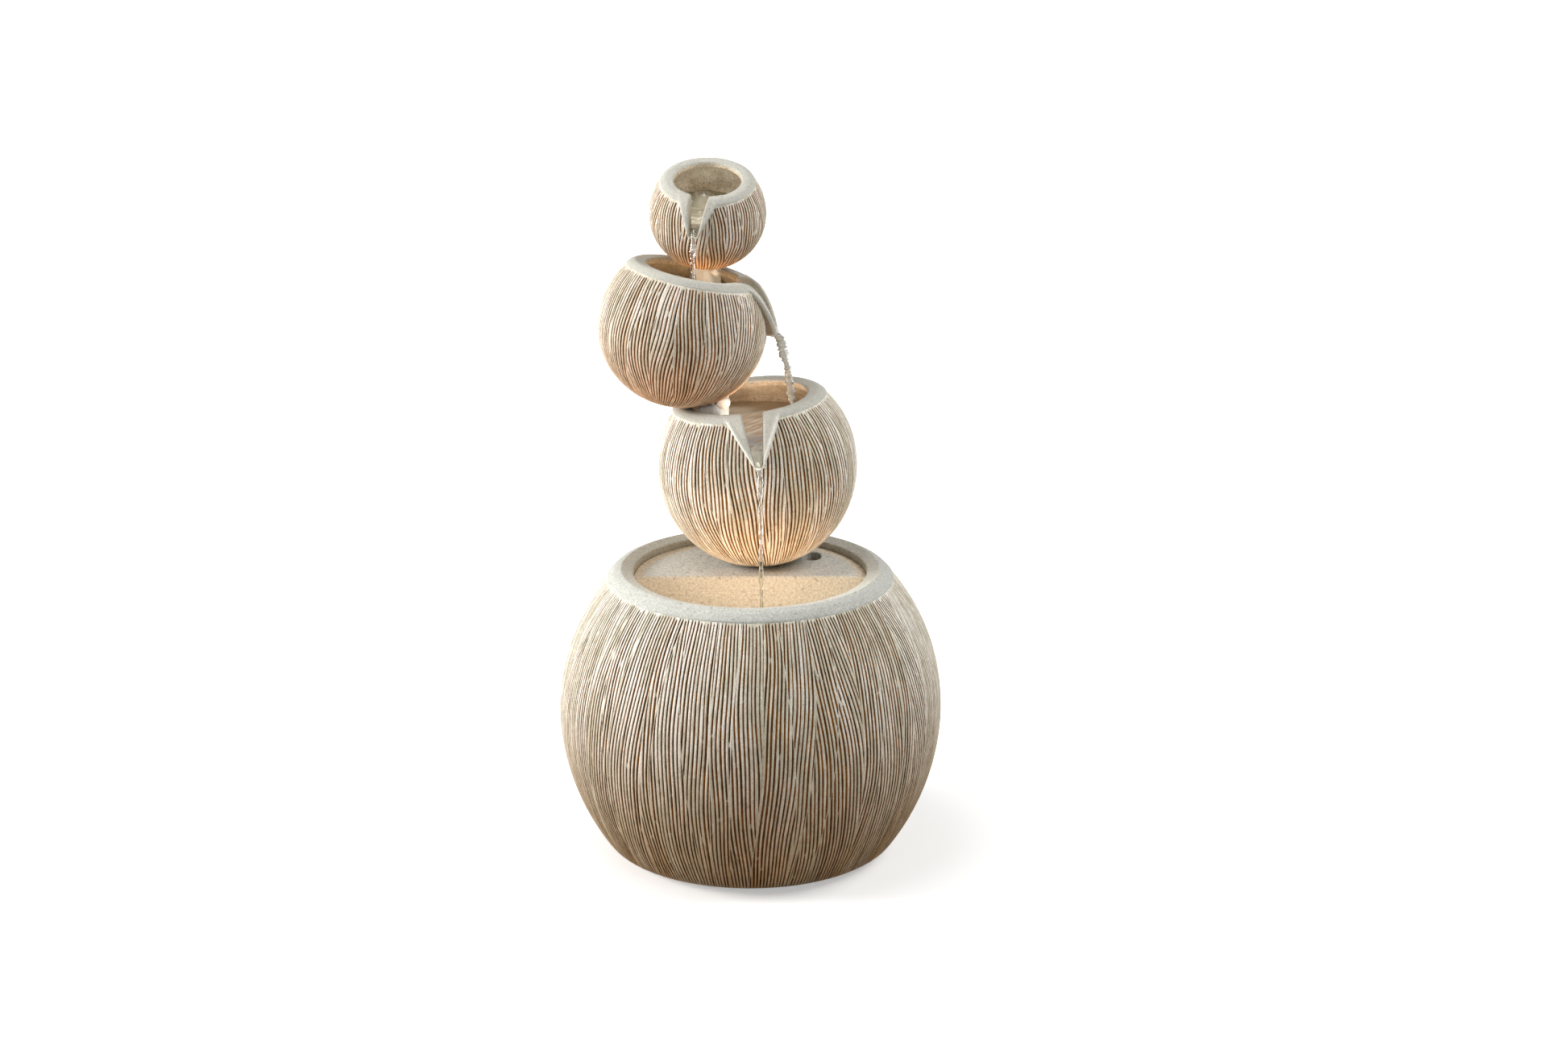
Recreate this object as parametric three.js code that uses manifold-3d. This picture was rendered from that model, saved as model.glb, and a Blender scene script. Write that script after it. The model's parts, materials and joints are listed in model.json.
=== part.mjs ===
// Four-tier bowl fountain: a ribbed ball-shaped reservoir with a half-moon deck, three ribbed ball bowls
// stacked on it so that each pours into the next, a submersible pump, one riser tube and three lamps.
// Millimetres, +Z up. The origin is the centre of the rubber pads' underside; -Y is the front, +X the right.
import * as THREE from "three";
import { mergeVertices } from "three/addons/utils/BufferGeometryUtils.js";
import Module from "manifold-3d";

const wasm = await Module();
wasm.setup();

// ---------- Driving dimensions ----------
const gap = 0.3; // between pieces that touch
const ballSides = 32; // facets round a ball
const hollowSides = 20; // facets round the hollows inside the bowls
const ballRings = 8; // facets from a ball's foot to its rim
const smallSides = 16; // facets round a small turned piece

// Rubber pads and the reservoir ball
const padThick = 1.7;
const padRadius = 9;
const padCircle = 62; // radius of the circle the pads stand on
const baseRadius = 119.9; // at the widest level
const baseWidestZ = 91.9;
const baseUpperReach = 124.6; // height of the upper half-oval above the widest level
const baseUpperPower = 2.06; // 2 is an ellipse
const baseLowerReach = 136.2;
const baseLowerPower = 1.9;
const baseWall = 6;
const baseFootRound = 6; // radius of the edge round the underside
const baseFootAngles = [0, 30, 60];
const baseFloor = 6; // floor thickness
const floorCorner = { width: 5, height: 4 }; // the slope between floor and wall inside
const baseJointZ = 177.5; // level where the ribs end and the smooth rim begins
const rimCrestRadius = 80.3;
const rimCrestZ = 183.4;
const rimFlat = 3; // width of the level crest
const rimBevel = { width: 5, height: 3.9 }; // outside the crest, its foot's height above the ribs' end
const mouthRadius = 72.7; // of the round opening
const mouthEdgeDrop = 1.5; // the rim's flat falls this much towards the opening
const neckDepth = 19; // height of the straight wall below the opening
const neckShoulder = 5; // height of the slope between that wall and the ball's inside
const ledgeWidth = 7;
const ledgeThick = 6;
const ledgeRoot = 2; // reach of the ledge into the wall
const ledgeBehindSkirt = 6; // distance of the ledge's ends from the skirt

// Half-moon deck that lifts out with the tower of bowls
const deckTopZ = 177.5;
const deckThick = 7;
const deckPlay = 0.5; // radial play in the opening
const deckFrontY = 0;
const skirtThick = 6;
const skirtDrop = 54; // the front wall's height below the deck's top
const fingerHole = { x: 38.5, y: 40.5, radius: 5.5, length: 6 };
const deckShaftRadius = 12; // of the hole that the tube and the leads pass through

// Ball bowls. lean is the lean of the axis in degrees towards +X and towards the front, floor the height of
// the bowl's floor above the ball's centre, and spoutAzimuth is measured from the front towards +X. The ridge of
// a beak bends from the rim's crest to the tip, pulled towards its shoulder point.
const bowls = {
  lower: {
    centre: [4.1, 37, 240.4], lean: [-6.5, 0.4], radius: 63, lowerReach: 66, footDrop: 62,
    jointHeight: 40.5, crestRadius: 43.6, crestHeight: 43.6, mouthRadius: 36.8, mouthHeight: 42.9,
    wall: 6, floor: -10, floorThick: 5, spoutAzimuth: 3.2,
    tipHeight: 15, tipReach: 68.5, outerHalfTop: 18, outerHalfTip: 4.6, innerHalfTop: 6.8, innerHalfTip: 2.9,
    shoulderReach: 55.5, shoulderHeight: 41.5,
  },
  middle: {
    centre: [-41.9, 37, 328.9], lean: [11.3, -3.4], radius: 52.8, lowerReach: 50.9, footDrop: 49,
    jointHeight: 32.5, crestRadius: 36.6, crestHeight: 36, mouthRadius: 29.5, mouthHeight: 35.5,
    wall: 5.5, floor: -6, floorThick: 5, spoutAzimuth: 85,
    tipHeight: 4.8, tipReach: 58.6, outerHalfTop: 19.5, outerHalfTip: 5.2, innerHalfTop: 11.5, innerHalfTip: 3.4,
    shoulderReach: 47.6, shoulderHeight: 33.8,
  },
  top: {
    centre: [-26.4, 60, 395.2], lean: [0.6, 17.5], radius: 36.7, lowerReach: 34.7, footDrop: 34,
    jointHeight: 22, crestRadius: 25.8, crestHeight: 24.4, mouthRadius: 21.2, mouthHeight: 24.2,
    wall: 4.5, floor: -1.5, floorThick: 4, spoutAzimuth: -11.5,
    tipHeight: 4, tipReach: 41.4, outerHalfTop: 13.2, outerHalfTip: 4.2, innerHalfTop: 5.8, innerHalfTip: 3,
    shoulderReach: 33.5, shoulderHeight: 23.3,
  },
};
const crestRound = { width: 2.5, drop: 0.9 }; // the bevel just outside a bowl rim's crest
const footRing = { radius: 20, height: 1.5, shift: 4 }; // raises the lower bowl off the deck
const seatRise = 2; // height of the lower bowl's shaft seat above its foot
const wallBend = 0.72; // where a bowl's inner wall turns towards the mouth, as a share of jointHeight
const neckHeight = 3.5; // of the straight part under a bowl's mouth
const bowlCorner = { width: 5, height: 4 }; // the slope between a bowl's floor and wall
const beak = { under: 1, chamfer: 1.5, rise: 3, steps: 5 }; // side view of the beak's tip, and steps of its ridge
const channelRise = 1.6; // floor of the channel above the beak's tip
const channelReach = 8; // how far the channel runs inside the mouth
const shaftPlay = 1.5; // the lower bowl's shaft is this much wider than the deck's

// Riser tube, its seals, and the hollow supports that hide it
const tubeRadius = 4.5;
const tubeBore = 3.2;
const tubeClear = 0.4;
const tubeSteps = 28; // straight stretches that the tube's route is made of
const tubeSides = 10;
const sealThick = 1.4;
const sealLip = 1.2; // stands past the floor on both sides
const supportRadius = 9.8;
const supportShift = 2; // support axis behind the tube axis, to make room for the lead
const supportRoot = 4; // the column starts this far below the floor's level and is trimmed to the bowl
const supportTop = 0.55; // where it ends, as a share of the upper ball's radius below its centre
const sealReach = { below: 12, above: 4 }; // of the hole for a seal, from the floor
const collarRise = 2.5; // height of the support's collar over the seal
const leadRadius = 1.2;
const leadClear = 0.4;
const leadOffset = 8; // lead axis behind the tube axis
const leadMiddleLevels = { top: 288, bottom: 172, count: 10 }; // where it runs behind the tube
const leadLowerBends = [[4, -4, 198], [0, -6.6, 184], [-3, -7, 172], [-8, -7, 165]]; // X, Y from tubeAxis
const leadBaseBends = [[0, 2, 0], [0, 10, 1], [-4, 20, 10]]; // X and Z from the lead's start
const leadBaseDip = { x: -14, y: 27, z: -5 }; // X from the lamp, Z from the junction
const leadEntry = { long: 8, short: 4, side: 3, drop: 3 }; // the leads' last straight stretches
const tubeAxis = { x: 8, y: 40 }; // of the straight run over the pump
const tubeStraightZ = [100, 140]; // levels that keep that run straight
const riserBends = [
  [7, 40.2, 188], [-6, 42, 208], [-18, 44.2, 226], [-21, 45.2, 243], [-21.6, 46.4, 264],
  [-22.6, 48.6, 285], [-24.6, 53.6, 301], [-26.4, 60, 317], [-27.2, 64, 331], [-27.6, 66.6, 347],
  [-27.8, 68.8, 363], [-28.6, 71, 380], [-29.3, 72.7, 395.5], [-29.6, 73.6, 403],
];

// Pump, standing on the reservoir floor with its intake to the front
const chamberRadius = 17;
const chamberDepth = 16;
const chamberBore = 12.5;
const chamberBack = 4;
const motorHalfWidth = 20;
const motorHalfHeight = 19;
const motorLength = 31;
const motorRound = 6;
const rotorRadius = 6.4;
const rotorWell = 6.9;
const rotorLength = 23;
const impellerRadius = 11.6;
const impellerThick = 8;
const impellerBlades = 6;
const impellerPlate = 1.6;
const impellerHub = 3.4;
const bladeHalfThick = 0.7;
const rotorPlay = 2; // free length of the well behind the magnet
const shaftRadius = 1;
const shaftClear = 0.35;
const shaftSocket = 4; // depth of the shaft's seat behind the well
const shaftReach = 3.4; // beyond the impeller, into the bush
const bushRadius = 2.6;
const bushOverlap = 3; // of the shaft's end and the bush
const nozzleRadius = 2.9;
const nozzleBore = 1.9;
const nozzleRise = 33; // top of the nozzle above the pump's axis
const tubeFootRise = 21; // lower end of the tube above the pump's axis
const nozzleShoulder = 5;
const coverDepth = 12;
const coverWall = 1.8;
const slotHalfWidth = 1.1;
const slotMargin = 1.4; // between the slots and the cover's hub and wall
const slotOffsets = [-33.75, -11.25, 11.25, 33.75]; // degrees from the middle of each of two facing fans
const dialHub = 7;
const dialVaneRadius = 15;
const dialVaneSpan = 86; // degrees; a quarter turn takes the two vanes over the two fans of slots
const dialThick = 1.6;
const dialGrip = { length: 11, width: 2.4, height: 4 };
const dialPin = 1.5;
const cupRadius = 6;
const cupHeight = 5.6;
const cupHollow = 1.6;
const cupLip = 1;
const cupStem = 2.2;
const cupSpread = { x: 13, y: 8 };
const cupWallClear = 2.8; // between the rear cups and the edge of the reservoir's flat floor
const cutReach = 200; // half-size of the slabs and shafts that trim other pieces

// Lamps
const lampRadius = 10.5;
const lampHeight = 8.5;
const lampWall = 1.6;
const lampEdge = 1; // bevel round its foot
const lensSeat = 2; // depth of the lens in the housing
const lensRise = 2.6;
const ledRadius = 5.6;
const ledThick = 1.8;
const boardThick = 1.2;
const lampPlaces = { lower: [14, 6], middle: [-4, 12] }; // in a bowl: to its right, and towards its back
const baseLamp = { x: 16, standOff: 17, z: 140, tilt: -18 };
const bracketThick = 2.4;
const bracketHalfWidth = 9;
const bracketDrop = 12; // reach of the bracket's plate below the lamp's foot
const junction = { width: 28, depth: 16, height: 12, x: -24, y: 36, round: 2.5 };
const plug = { width: 12, depth: 8, height: 10 };
const pumpLeadRadius = 1.9;
const pumpLeadLevels = [60, 90, 120];
const pumpLeadDrift = [-1, -3, -6]; // sideways, from the pump's axis towards the gland
const pumpLeadStandOff = 7; // of the lead's axis from the reservoir's inner wall
const supplyLevels = { start: 4, rise: 16, middle: 92, upper: 126 }; // start and rise from the pump's axis
const supplyBend = 5; // first straight stretch out of the pump's side

// Cord gland in the back of the reservoir, above the water line
const glandZ = 150;
const glandNeck = 5;
const glandFlange = 8;
const glandFlangeThick = 1.6;
const glandBore = 2.7;
const glandSeat = 1.3; // depth of the flat seats in the curved wall
const glandNose = { bevel: 0.6, wall: 2.2, height: 1.6 };

// ---------- Colours and finishes ----------
const finish = (color, roughness, metalness = 0, extra = {}) =>
  new THREE.MeshStandardMaterial({ color, roughness, metalness, ...extra });
const stone = finish(0xd3cdbd, 0.9);
const ribbedStone = finish(0xb9a68c, 0.9);
const blackPlastic = finish(0x1f2022, 0.55);
const greyPlastic = finish(0x55585b, 0.5);
const rubber = finish(0x26262a, 0.85);
const vinyl = finish(0xdfe6e4, 0.25, 0, { transparent: true, opacity: 0.5 });
const clearLens = finish(0xf7f3e8, 0.15, 0, { transparent: true, opacity: 0.4 });
const warmLed = finish(0xffd9a0, 0.5, 0, { emissive: 0xffb060, emissiveIntensity: 1 });
const ceramicWhite = finish(0xf0eee8, 0.3);
const magnetBlack = finish(0x303236, 0.4, 0.3);

// ---------- Solids ----------
const solidOf = (positions, triangles) =>
  new wasm.Manifold(new wasm.Mesh({ numProp: 3, vertProperties: positions, triVerts: triangles }));

// A closed three.js geometry as a solid that can be cut and joined.
function solid(geometry) {
  const bare = geometry.clone();
  bare.deleteAttribute("normal");
  bare.deleteAttribute("uv");
  const merged = mergeVertices(bare, 1e-4);
  return solidOf(new Float32Array(merged.attributes.position.array), new Uint32Array(merged.index.array));
}

// A solid with its vertices moved by a matrix.
function moved(body, matrix) {
  const made = body.getMesh();
  const positions = new THREE.BufferAttribute(new Float32Array(made.vertProperties), 3);
  positions.applyMatrix4(matrix);
  return solidOf(positions.array, made.triVerts);
}

// A solid as a three.js geometry with flat normals.
function geometryOf(body) {
  const made = body.getMesh();
  const geometry = new THREE.BufferGeometry();
  geometry.setAttribute("position", new THREE.BufferAttribute(made.vertProperties, made.numProp));
  geometry.setIndex(new THREE.BufferAttribute(made.triVerts, 1));
  const flat = geometry.toNonIndexed();
  flat.computeVertexNormals();
  return flat;
}

const cut = (body, ...tools) => tools.reduce((left, tool) => left.subtract(tool), body);
const join = (...parts) => parts.reduce((sum, part) => sum.add(part));
const translation = (x, y, z) => new THREE.Matrix4().makeTranslation(x, y, z);
const turnedBy = (body, degrees) =>
  moved(body, new THREE.Matrix4().makeRotationZ(THREE.MathUtils.degToRad(degrees)));

// A profile of [radius, height] points turned round Z. It starts and ends on the axis, or closes on itself.
function turned(profile, sides = smallSides) {
  const points = profile.map(([r, z]) => new THREE.Vector2(r, z));
  const onAxis = profile[0][0] === 0 && profile[profile.length - 1][0] === 0;
  if (!onAxis) points.push(points[0].clone());
  return solid(new THREE.LatheGeometry(points, sides).rotateX(Math.PI / 2));
}

const disc = (radius, bottom, top, sides = smallSides) =>
  turned([[0, bottom], [radius, bottom], [radius, top], [0, top]], sides);
const ring = (inner, outer, bottom, top, sides = smallSides) =>
  turned([[inner, bottom], [outer, bottom], [outer, top], [inner, top]], sides);

// A box from its lowest to its highest corner.
function block([x0, y0, z0], [x1, y1, z1]) {
  const box = new THREE.BoxGeometry(x1 - x0, y1 - y0, z1 - z0);
  return solid(box.translate((x0 + x1) / 2, (y0 + y1) / 2, (z0 + z1) / 2));
}

// A slab with rounded vertical edges, standing on z = 0 and centred on the axis.
function roundedSlab(width, depth, height, round) {
  const w = width / 2;
  const d = depth / 2;
  const shape = new THREE.Shape();
  shape.moveTo(-w + round, -d);
  shape.lineTo(w - round, -d);
  shape.absarc(w - round, -d + round, round, -Math.PI / 2, 0);
  shape.lineTo(w, d - round);
  shape.absarc(w - round, d - round, round, 0, Math.PI / 2);
  shape.lineTo(-w + round, d);
  shape.absarc(-w + round, d - round, round, Math.PI / 2, Math.PI);
  shape.lineTo(-w, -d + round);
  shape.absarc(-w + round, -d + round, round, Math.PI, 1.5 * Math.PI);
  return solid(new THREE.ExtrudeGeometry(shape, { depth: height, bevelEnabled: false, curveSegments: 4 }));
}

// A round bar of a given radius along a curve.
function barAlong(curve, radius, steps, sides = 10) {
  const section = new THREE.Shape();
  for (let i = 0; i < sides; i++) {
    const a = (2 * Math.PI * i) / sides;
    if (i === 0) section.moveTo(radius, 0);
    else section.lineTo(radius * Math.cos(a), radius * Math.sin(a));
  }
  return solid(new THREE.ExtrudeGeometry(section, { steps, extrudePath: curve, bevelEnabled: false }));
}

const curveThrough = (points) =>
  new THREE.CatmullRomCurve3(points.map((p) => new THREE.Vector3(...p)), false, "centripetal");

// ---------- The scene graph ----------
const fountain = new THREE.Group();

function mesh(name, body, material, parent = fountain) {
  const made = new THREE.Mesh(geometryOf(body), material);
  made.name = name;
  parent.add(made);
  return made;
}

// ---------- Ball profiles ----------
// Radius of a ball of two half-ovals at a height above its widest level.
function ovalRadius(height, radius, upperReach, upperPower, lowerReach, lowerPower) {
  const [reach, power] = height > 0 ? [upperReach, upperPower] : [lowerReach, lowerPower];
  const share = Math.min(1, Math.abs(height) / reach);
  return radius * Math.pow(1 - Math.pow(share, power), 1 / power);
}

// Points [radius, height] from one height to another, evenly spaced.
function ovalPoints(radiusAt, from, to, count) {
  return Array.from({ length: count + 1 }, (_, i) => {
    const height = from + ((to - from) * i) / count;
    return [radiusAt(height), height];
  });
}

const baseOuter = (z, inset = 0) =>
  ovalRadius(z - baseWidestZ, baseRadius - inset, baseUpperReach - inset, baseUpperPower,
    baseLowerReach - inset, baseLowerPower);
const bowlOuter = (b, h, inset = 0) =>
  ovalRadius(h, b.radius - inset, b.radius - inset, 2, b.lowerReach - inset, 2.04);

// ---------- Reservoir ball ----------
const baseBottomZ = padThick + gap;
const floorZ = baseBottomZ + baseFloor;
const pumpAxisZ = floorZ + gap + cupHeight + gap + motorHalfHeight;
const tubeFootZ = pumpAxisZ + tubeFootRise;
const mouthZ = rimCrestZ - mouthEdgeDrop;
const neckBottomZ = mouthZ - neckDepth;
const ledgeTopZ = deckTopZ - deckThick - gap;
const ledgeStartY = skirtThick + ledgeBehindSkirt; // the ledge runs round behind the skirt only
const flatFloorRadius = baseOuter(floorZ + floorCorner.height, baseWall) - floorCorner.width;

function reservoirBall() {
  const footRadius = baseOuter(baseBottomZ + baseFootRound) - baseFootRound;
  const round = baseFootAngles.map((degrees) => {
    const a = THREE.MathUtils.degToRad(degrees);
    return [footRadius + baseFootRound * Math.sin(a), baseBottomZ + baseFootRound * (1 - Math.cos(a))];
  });
  const shoulderZ = neckBottomZ - neckShoulder;
  const outline = [
    [0, baseBottomZ],
    ...round,
    ...ovalPoints(baseOuter, baseBottomZ + baseFootRound, baseJointZ, ballRings),
    [rimCrestRadius + rimBevel.width, baseJointZ + rimBevel.height],
    [rimCrestRadius, rimCrestZ],
    [rimCrestRadius - rimFlat, rimCrestZ],
    [mouthRadius, mouthZ],
    [mouthRadius, neckBottomZ],
    ...ovalPoints((z) => baseOuter(z, baseWall), shoulderZ, floorZ + floorCorner.height, 6),
    [flatFloorRadius, floorZ],
    [0, floorZ],
  ];
  const ledge = cut(
    ring(mouthRadius - ledgeWidth, mouthRadius + ledgeRoot, ledgeTopZ - ledgeThick, ledgeTopZ, ballSides),
    block([-baseRadius, -baseRadius, 0], [baseRadius, ledgeStartY, rimCrestZ]),
  );
  return cut(join(turned(outline, ballSides), ledge), glandHole());
}

// ---------- Cord gland ----------
// The frame of the gland: its centre on the outer wall at the back, its axis along the wall's normal.
function glandFrame() {
  const step = 0.5;
  const slope = (baseOuter(glandZ + step) - baseOuter(glandZ - step)) / (2 * step);
  const outward = new THREE.Vector3(0, 1, -slope).normalize();
  const turn = new THREE.Quaternion().setFromUnitVectors(new THREE.Vector3(0, 0, 1), outward);
  const place = new THREE.Vector3(0, baseOuter(glandZ), glandZ);
  return new THREE.Matrix4().compose(place, turn, new THREE.Vector3(1, 1, 1));
}

const glandInnerSeat = -baseWall + glandSeat;
const glandInnerEnd = glandInnerSeat - gap - glandFlangeThick;

function glandHole() {
  const hole = join(
    disc(glandNeck + gap, -3 * baseWall, baseWall),
    disc(glandFlange + gap, -glandSeat, baseWall),
    disc(glandFlange + gap, -3 * baseWall, glandInnerSeat),
  );
  return moved(hole, glandFrame());
}

function cordGland() {
  const outer = gap - glandSeat + glandFlangeThick;
  return turned([
    [glandBore, glandInnerEnd],
    [glandFlange, glandInnerEnd],
    [glandFlange, glandInnerSeat - gap],
    [glandNeck, glandInnerSeat - gap],
    [glandNeck, gap - glandSeat],
    [glandFlange, gap - glandSeat],
    [glandFlange, outer - glandNose.bevel],
    [glandBore + glandNose.wall, outer + glandNose.height],
    [glandBore, outer + glandNose.height],
  ]);
}

// ---------- Bowl frames ----------
// A bowl's group: its local Z is the bowl's axis, -Y its front and +X its right.
function bowlGroup(b) {
  const [leanRight, leanFront] = b.lean.map(THREE.MathUtils.degToRad);
  const axis = new THREE.Vector3(Math.tan(leanRight), -Math.tan(leanFront), 1).normalize();
  const back = new THREE.Vector3(0, 1, 0).addScaledVector(axis, -axis.y).normalize();
  const right = new THREE.Vector3().crossVectors(back, axis);
  const group = new THREE.Group();
  group.quaternion.setFromRotationMatrix(new THREE.Matrix4().makeBasis(right, back, axis));
  group.position.set(...b.centre);
  group.updateMatrixWorld(true);
  fountain.add(group);
  return group;
}

for (const b of Object.values(bowls)) b.group = bowlGroup(b);
const intoBowl = (b, body) => moved(body, b.group.matrixWorld.clone().invert());
const outOfBowl = (b, body) => moved(body, b.group.matrixWorld);

// Turns a body from the front of a bowl to its spout's side.
const toSpout = (b, body) => turnedBy(body, b.spoutAzimuth);

// ---------- Riser route ----------
const riserCurve = curveThrough([
  [tubeAxis.x, tubeAxis.y, tubeFootZ],
  ...tubeStraightZ.map((z) => [tubeAxis.x, tubeAxis.y, z]),
  [tubeAxis.x, tubeAxis.y, deckTopZ - deckThick],
  ...riserBends,
]);
const riserEndZ = riserBends[riserBends.length - 1][2];

// The route's point at a height.
function riserAt(z) {
  let [low, high] = [0, 1];
  for (let i = 0; i < 30; i++) {
    const middle = (low + high) / 2;
    if (riserCurve.getPoint(middle).z < z) low = middle;
    else high = middle;
  }
  return riserCurve.getPoint(low);
}

// The route between two heights, shifted backwards, as a curve of its own.
function riserBetween(fromZ, toZ, shiftY = 0, count = 8) {
  const points = Array.from({ length: count + 1 }, (_, i) => {
    const p = riserAt(fromZ + ((toZ - fromZ) * i) / count);
    return [p.x, p.y + shiftY, p.z];
  });
  return curveThrough(points);
}

// The tube's own outside, larger by a margin, for cutting what it passes through.
const riserForm = (margin) => barAlong(riserCurve, tubeRadius + margin, tubeSteps, tubeSides);

// ---------- Bowls ----------
// The space inside a bowl above its floor, kept clear of its wall by a margin, with a shaft above the mouth.
function bowlRoom(b, margin, above) {
  const inset = b.wall + margin;
  const wallTop = b.jointHeight * wallBend;
  return turned([
    [0, b.floor + margin],
    [bowlOuter(b, b.floor, inset) - bowlCorner.width, b.floor + margin],
    ...ovalPoints((h) => bowlOuter(b, h, inset), b.floor + bowlCorner.height + margin, wallTop, 3),
    [b.mouthRadius - margin, b.mouthHeight - neckHeight],
    [b.mouthRadius - margin, b.mouthHeight + above],
    [0, b.mouthHeight + above],
  ], hollowSides);
}

// The hollow under a bowl's floor.
function bowlChamber(b) {
  const bottom = -b.footDrop + b.wall;
  const top = b.floor - b.floorThick;
  const points = ovalPoints((h) => Math.max(0, bowlOuter(b, h, b.wall)), bottom, top, 3);
  return turned([[0, bottom], ...points, [0, top]], hollowSides);
}

// A ball's outer form, larger all round by a margin, for cutting what stands against it.
function ballForm(b, margin) {
  const low = -b.footDrop;
  const points = ovalPoints((h) => bowlOuter(b, h) + margin, low, b.jointHeight, ballRings);
  return turned([[0, low - margin], [points[0][0], low - margin], ...points, [0, b.jointHeight]], ballSides);
}

// An outline seen from the spout's side, wide at the rim and narrow at the tip, pushed out from the ball.
function wedge(b, halfTop, halfTip, tipHeight, topHeight, from) {
  const shape = new THREE.Shape();
  const span = topHeight - tipHeight;
  shape.moveTo(-halfTop, span);
  shape.lineTo(-halfTip, halfTip);
  shape.absarc(0, halfTip, halfTip, Math.PI, 2 * Math.PI);
  shape.lineTo(halfTop, span);
  shape.closePath();
  const depth = b.tipReach + channelReach - from;
  const body = new THREE.ExtrudeGeometry(shape, { depth, bevelEnabled: false, curveSegments: 4 });
  return toSpout(b, solid(body.rotateX(Math.PI / 2).translate(0, -from, tipHeight)));
}

// The beak's side view turned round the axis: a ridge bending from the rim's crest down to the tip, then back
// under it.
function beakEnvelope(b) {
  const ridge = new THREE.QuadraticBezierCurve(
    new THREE.Vector2(b.tipReach, b.tipHeight + beak.rise),
    new THREE.Vector2(b.shoulderReach, b.shoulderHeight),
    new THREE.Vector2(b.crestRadius, b.crestHeight),
  );
  return turned([
    [0, b.tipHeight - beak.under],
    [bowlOuter(b, b.tipHeight - beak.under) - beak.under, b.tipHeight - beak.under],
    [b.tipReach - beak.chamfer, b.tipHeight],
    ...ridge.getPoints(beak.steps).map((p) => [p.x, p.y]),
    [b.mouthRadius, b.mouthHeight],
    [0, b.mouthHeight],
  ], ballSides);
}

function bowlBody(b) {
  const ball = turned([
    [0, -b.footDrop],
    ...ovalPoints((h) => bowlOuter(b, h), -b.footDrop, b.jointHeight, ballRings),
    [b.crestRadius + crestRound.width, b.crestHeight - crestRound.drop],
    [b.crestRadius, b.crestHeight],
    [b.mouthRadius, b.mouthHeight],
    [0, b.mouthHeight],
  ], ballSides);
  const overRim = b.mouthHeight + beak.under;
  const cheeks = wedge(b, b.outerHalfTop, b.outerHalfTip, b.tipHeight, overRim, b.mouthRadius)
    .intersect(beakEnvelope(b));
  const channelStart = b.mouthRadius - channelReach;
  const channel = wedge(b, b.innerHalfTop, b.innerHalfTip, b.tipHeight + channelRise, overRim, channelStart);
  return cut(join(ball, cheeks), bowlRoom(b, 0, neckHeight), bowlChamber(b), channel);
}

const sealHole = (b) =>
  barAlong(
    riserBetween(b.crossingZ - sealReach.below, b.crossingZ + sealReach.above),
    tubeRadius + sealThick + gap, 3, 12,
  );

// World height of a bowl's floor where the riser passes it.
function floorCrossing(b) {
  const toLocal = b.group.matrixWorld.clone().invert();
  let [low, high] = [b.centre[2] - b.radius, b.centre[2] + b.radius];
  for (let i = 0; i < 30; i++) {
    const middle = (low + high) / 2;
    if (riserAt(middle).applyMatrix4(toLocal).z < b.floor) low = middle;
    else high = middle;
  }
  return low;
}

for (const b of Object.values(bowls)) b.crossingZ = floorCrossing(b);

// The point under a bowl's lamp at a height above the floor, along the bowl's own axis.
const underLamp = (b, place, rise) => {
  const p = new THREE.Vector3(place[0], place[1], b.floor + rise).applyMatrix4(b.group.matrixWorld);
  return [p.x, p.y, p.z];
};
// Three points that take a lead straight through the floor.
const throughFloor = (b, place) =>
  [-gap, -b.floorThick / 2, -b.floorThick - leadEntry.drop].map((rise) => underLamp(b, place, rise));

// The dished seat that a ball leaves in the rim under it.
const seatOf = (above, under) => intoBowl(under, outOfBowl(above, ballForm(above, gap)));

function lowerBowl() {
  const b = bowls.lower;
  const deckLevel = deckTopZ + gap;
  const under = block([-cutReach, -cutReach, 0], [cutReach, cutReach, deckLevel + footRing.height]);
  const footAxis = new THREE.Vector3(0, 0, -b.footDrop).applyMatrix4(b.group.matrixWorld);
  const foot = moved(
    disc(footRing.radius, deckLevel, deckLevel + b.wall + seatRise, hollowSides),
    translation(footAxis.x - footRing.shift, footAxis.y, 0),
  );
  const shaft = moved(
    disc(deckShaftRadius + shaftPlay, deckLevel - seatRise, deckLevel + 2 * b.wall),
    translation(tubeAxis.x, tubeAxis.y, 0),
  );
  const body = join(cut(bowlBody(b), intoBowl(b, under)), intoBowl(b, foot));
  return cut(
    body,
    seatOf(bowls.middle, b),
    intoBowl(b, shaft),
    intoBowl(b, sealHole(b)),
    intoBowl(b, leadMiddle(leadClear)),
    intoBowl(b, leadLower(leadClear)),
  );
}

function middleBowl() {
  const b = bowls.middle;
  return cut(
    bowlBody(b),
    seatOf(bowls.top, b),
    intoBowl(b, riserForm(tubeClear)),
    intoBowl(b, sealHole(b)),
    intoBowl(b, leadMiddle(leadClear)),
  );
}

function topBowl() {
  const b = bowls.top;
  return cut(bowlBody(b), intoBowl(b, riserForm(tubeClear)), intoBowl(b, sealHole(b)));
}

// A hollow column round the riser, from a bowl's floor to the underside of the ball above.
function support(under, above, shift, ...leads) {
  const fromZ = under.crossingZ - supportRoot;
  const toZ = above.centre[2] - above.radius * supportTop;
  const column = barAlong(riserBetween(fromZ, toZ, shift), supportRadius, 5, 14)
    .intersect(outOfBowl(under, bowlRoom(under, gap, above.radius)));
  const lipRoute = riserBetween(under.crossingZ - 2 * supportRoot, under.crossingZ + sealLip + collarRise);
  const lipCollar = barAlong(lipRoute, tubeRadius + sealThick + 2 * gap, 3, 12);
  return cut(column, outOfBowl(above, ballForm(above, gap)), riserForm(tubeClear), lipCollar, ...leads);
}

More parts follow.
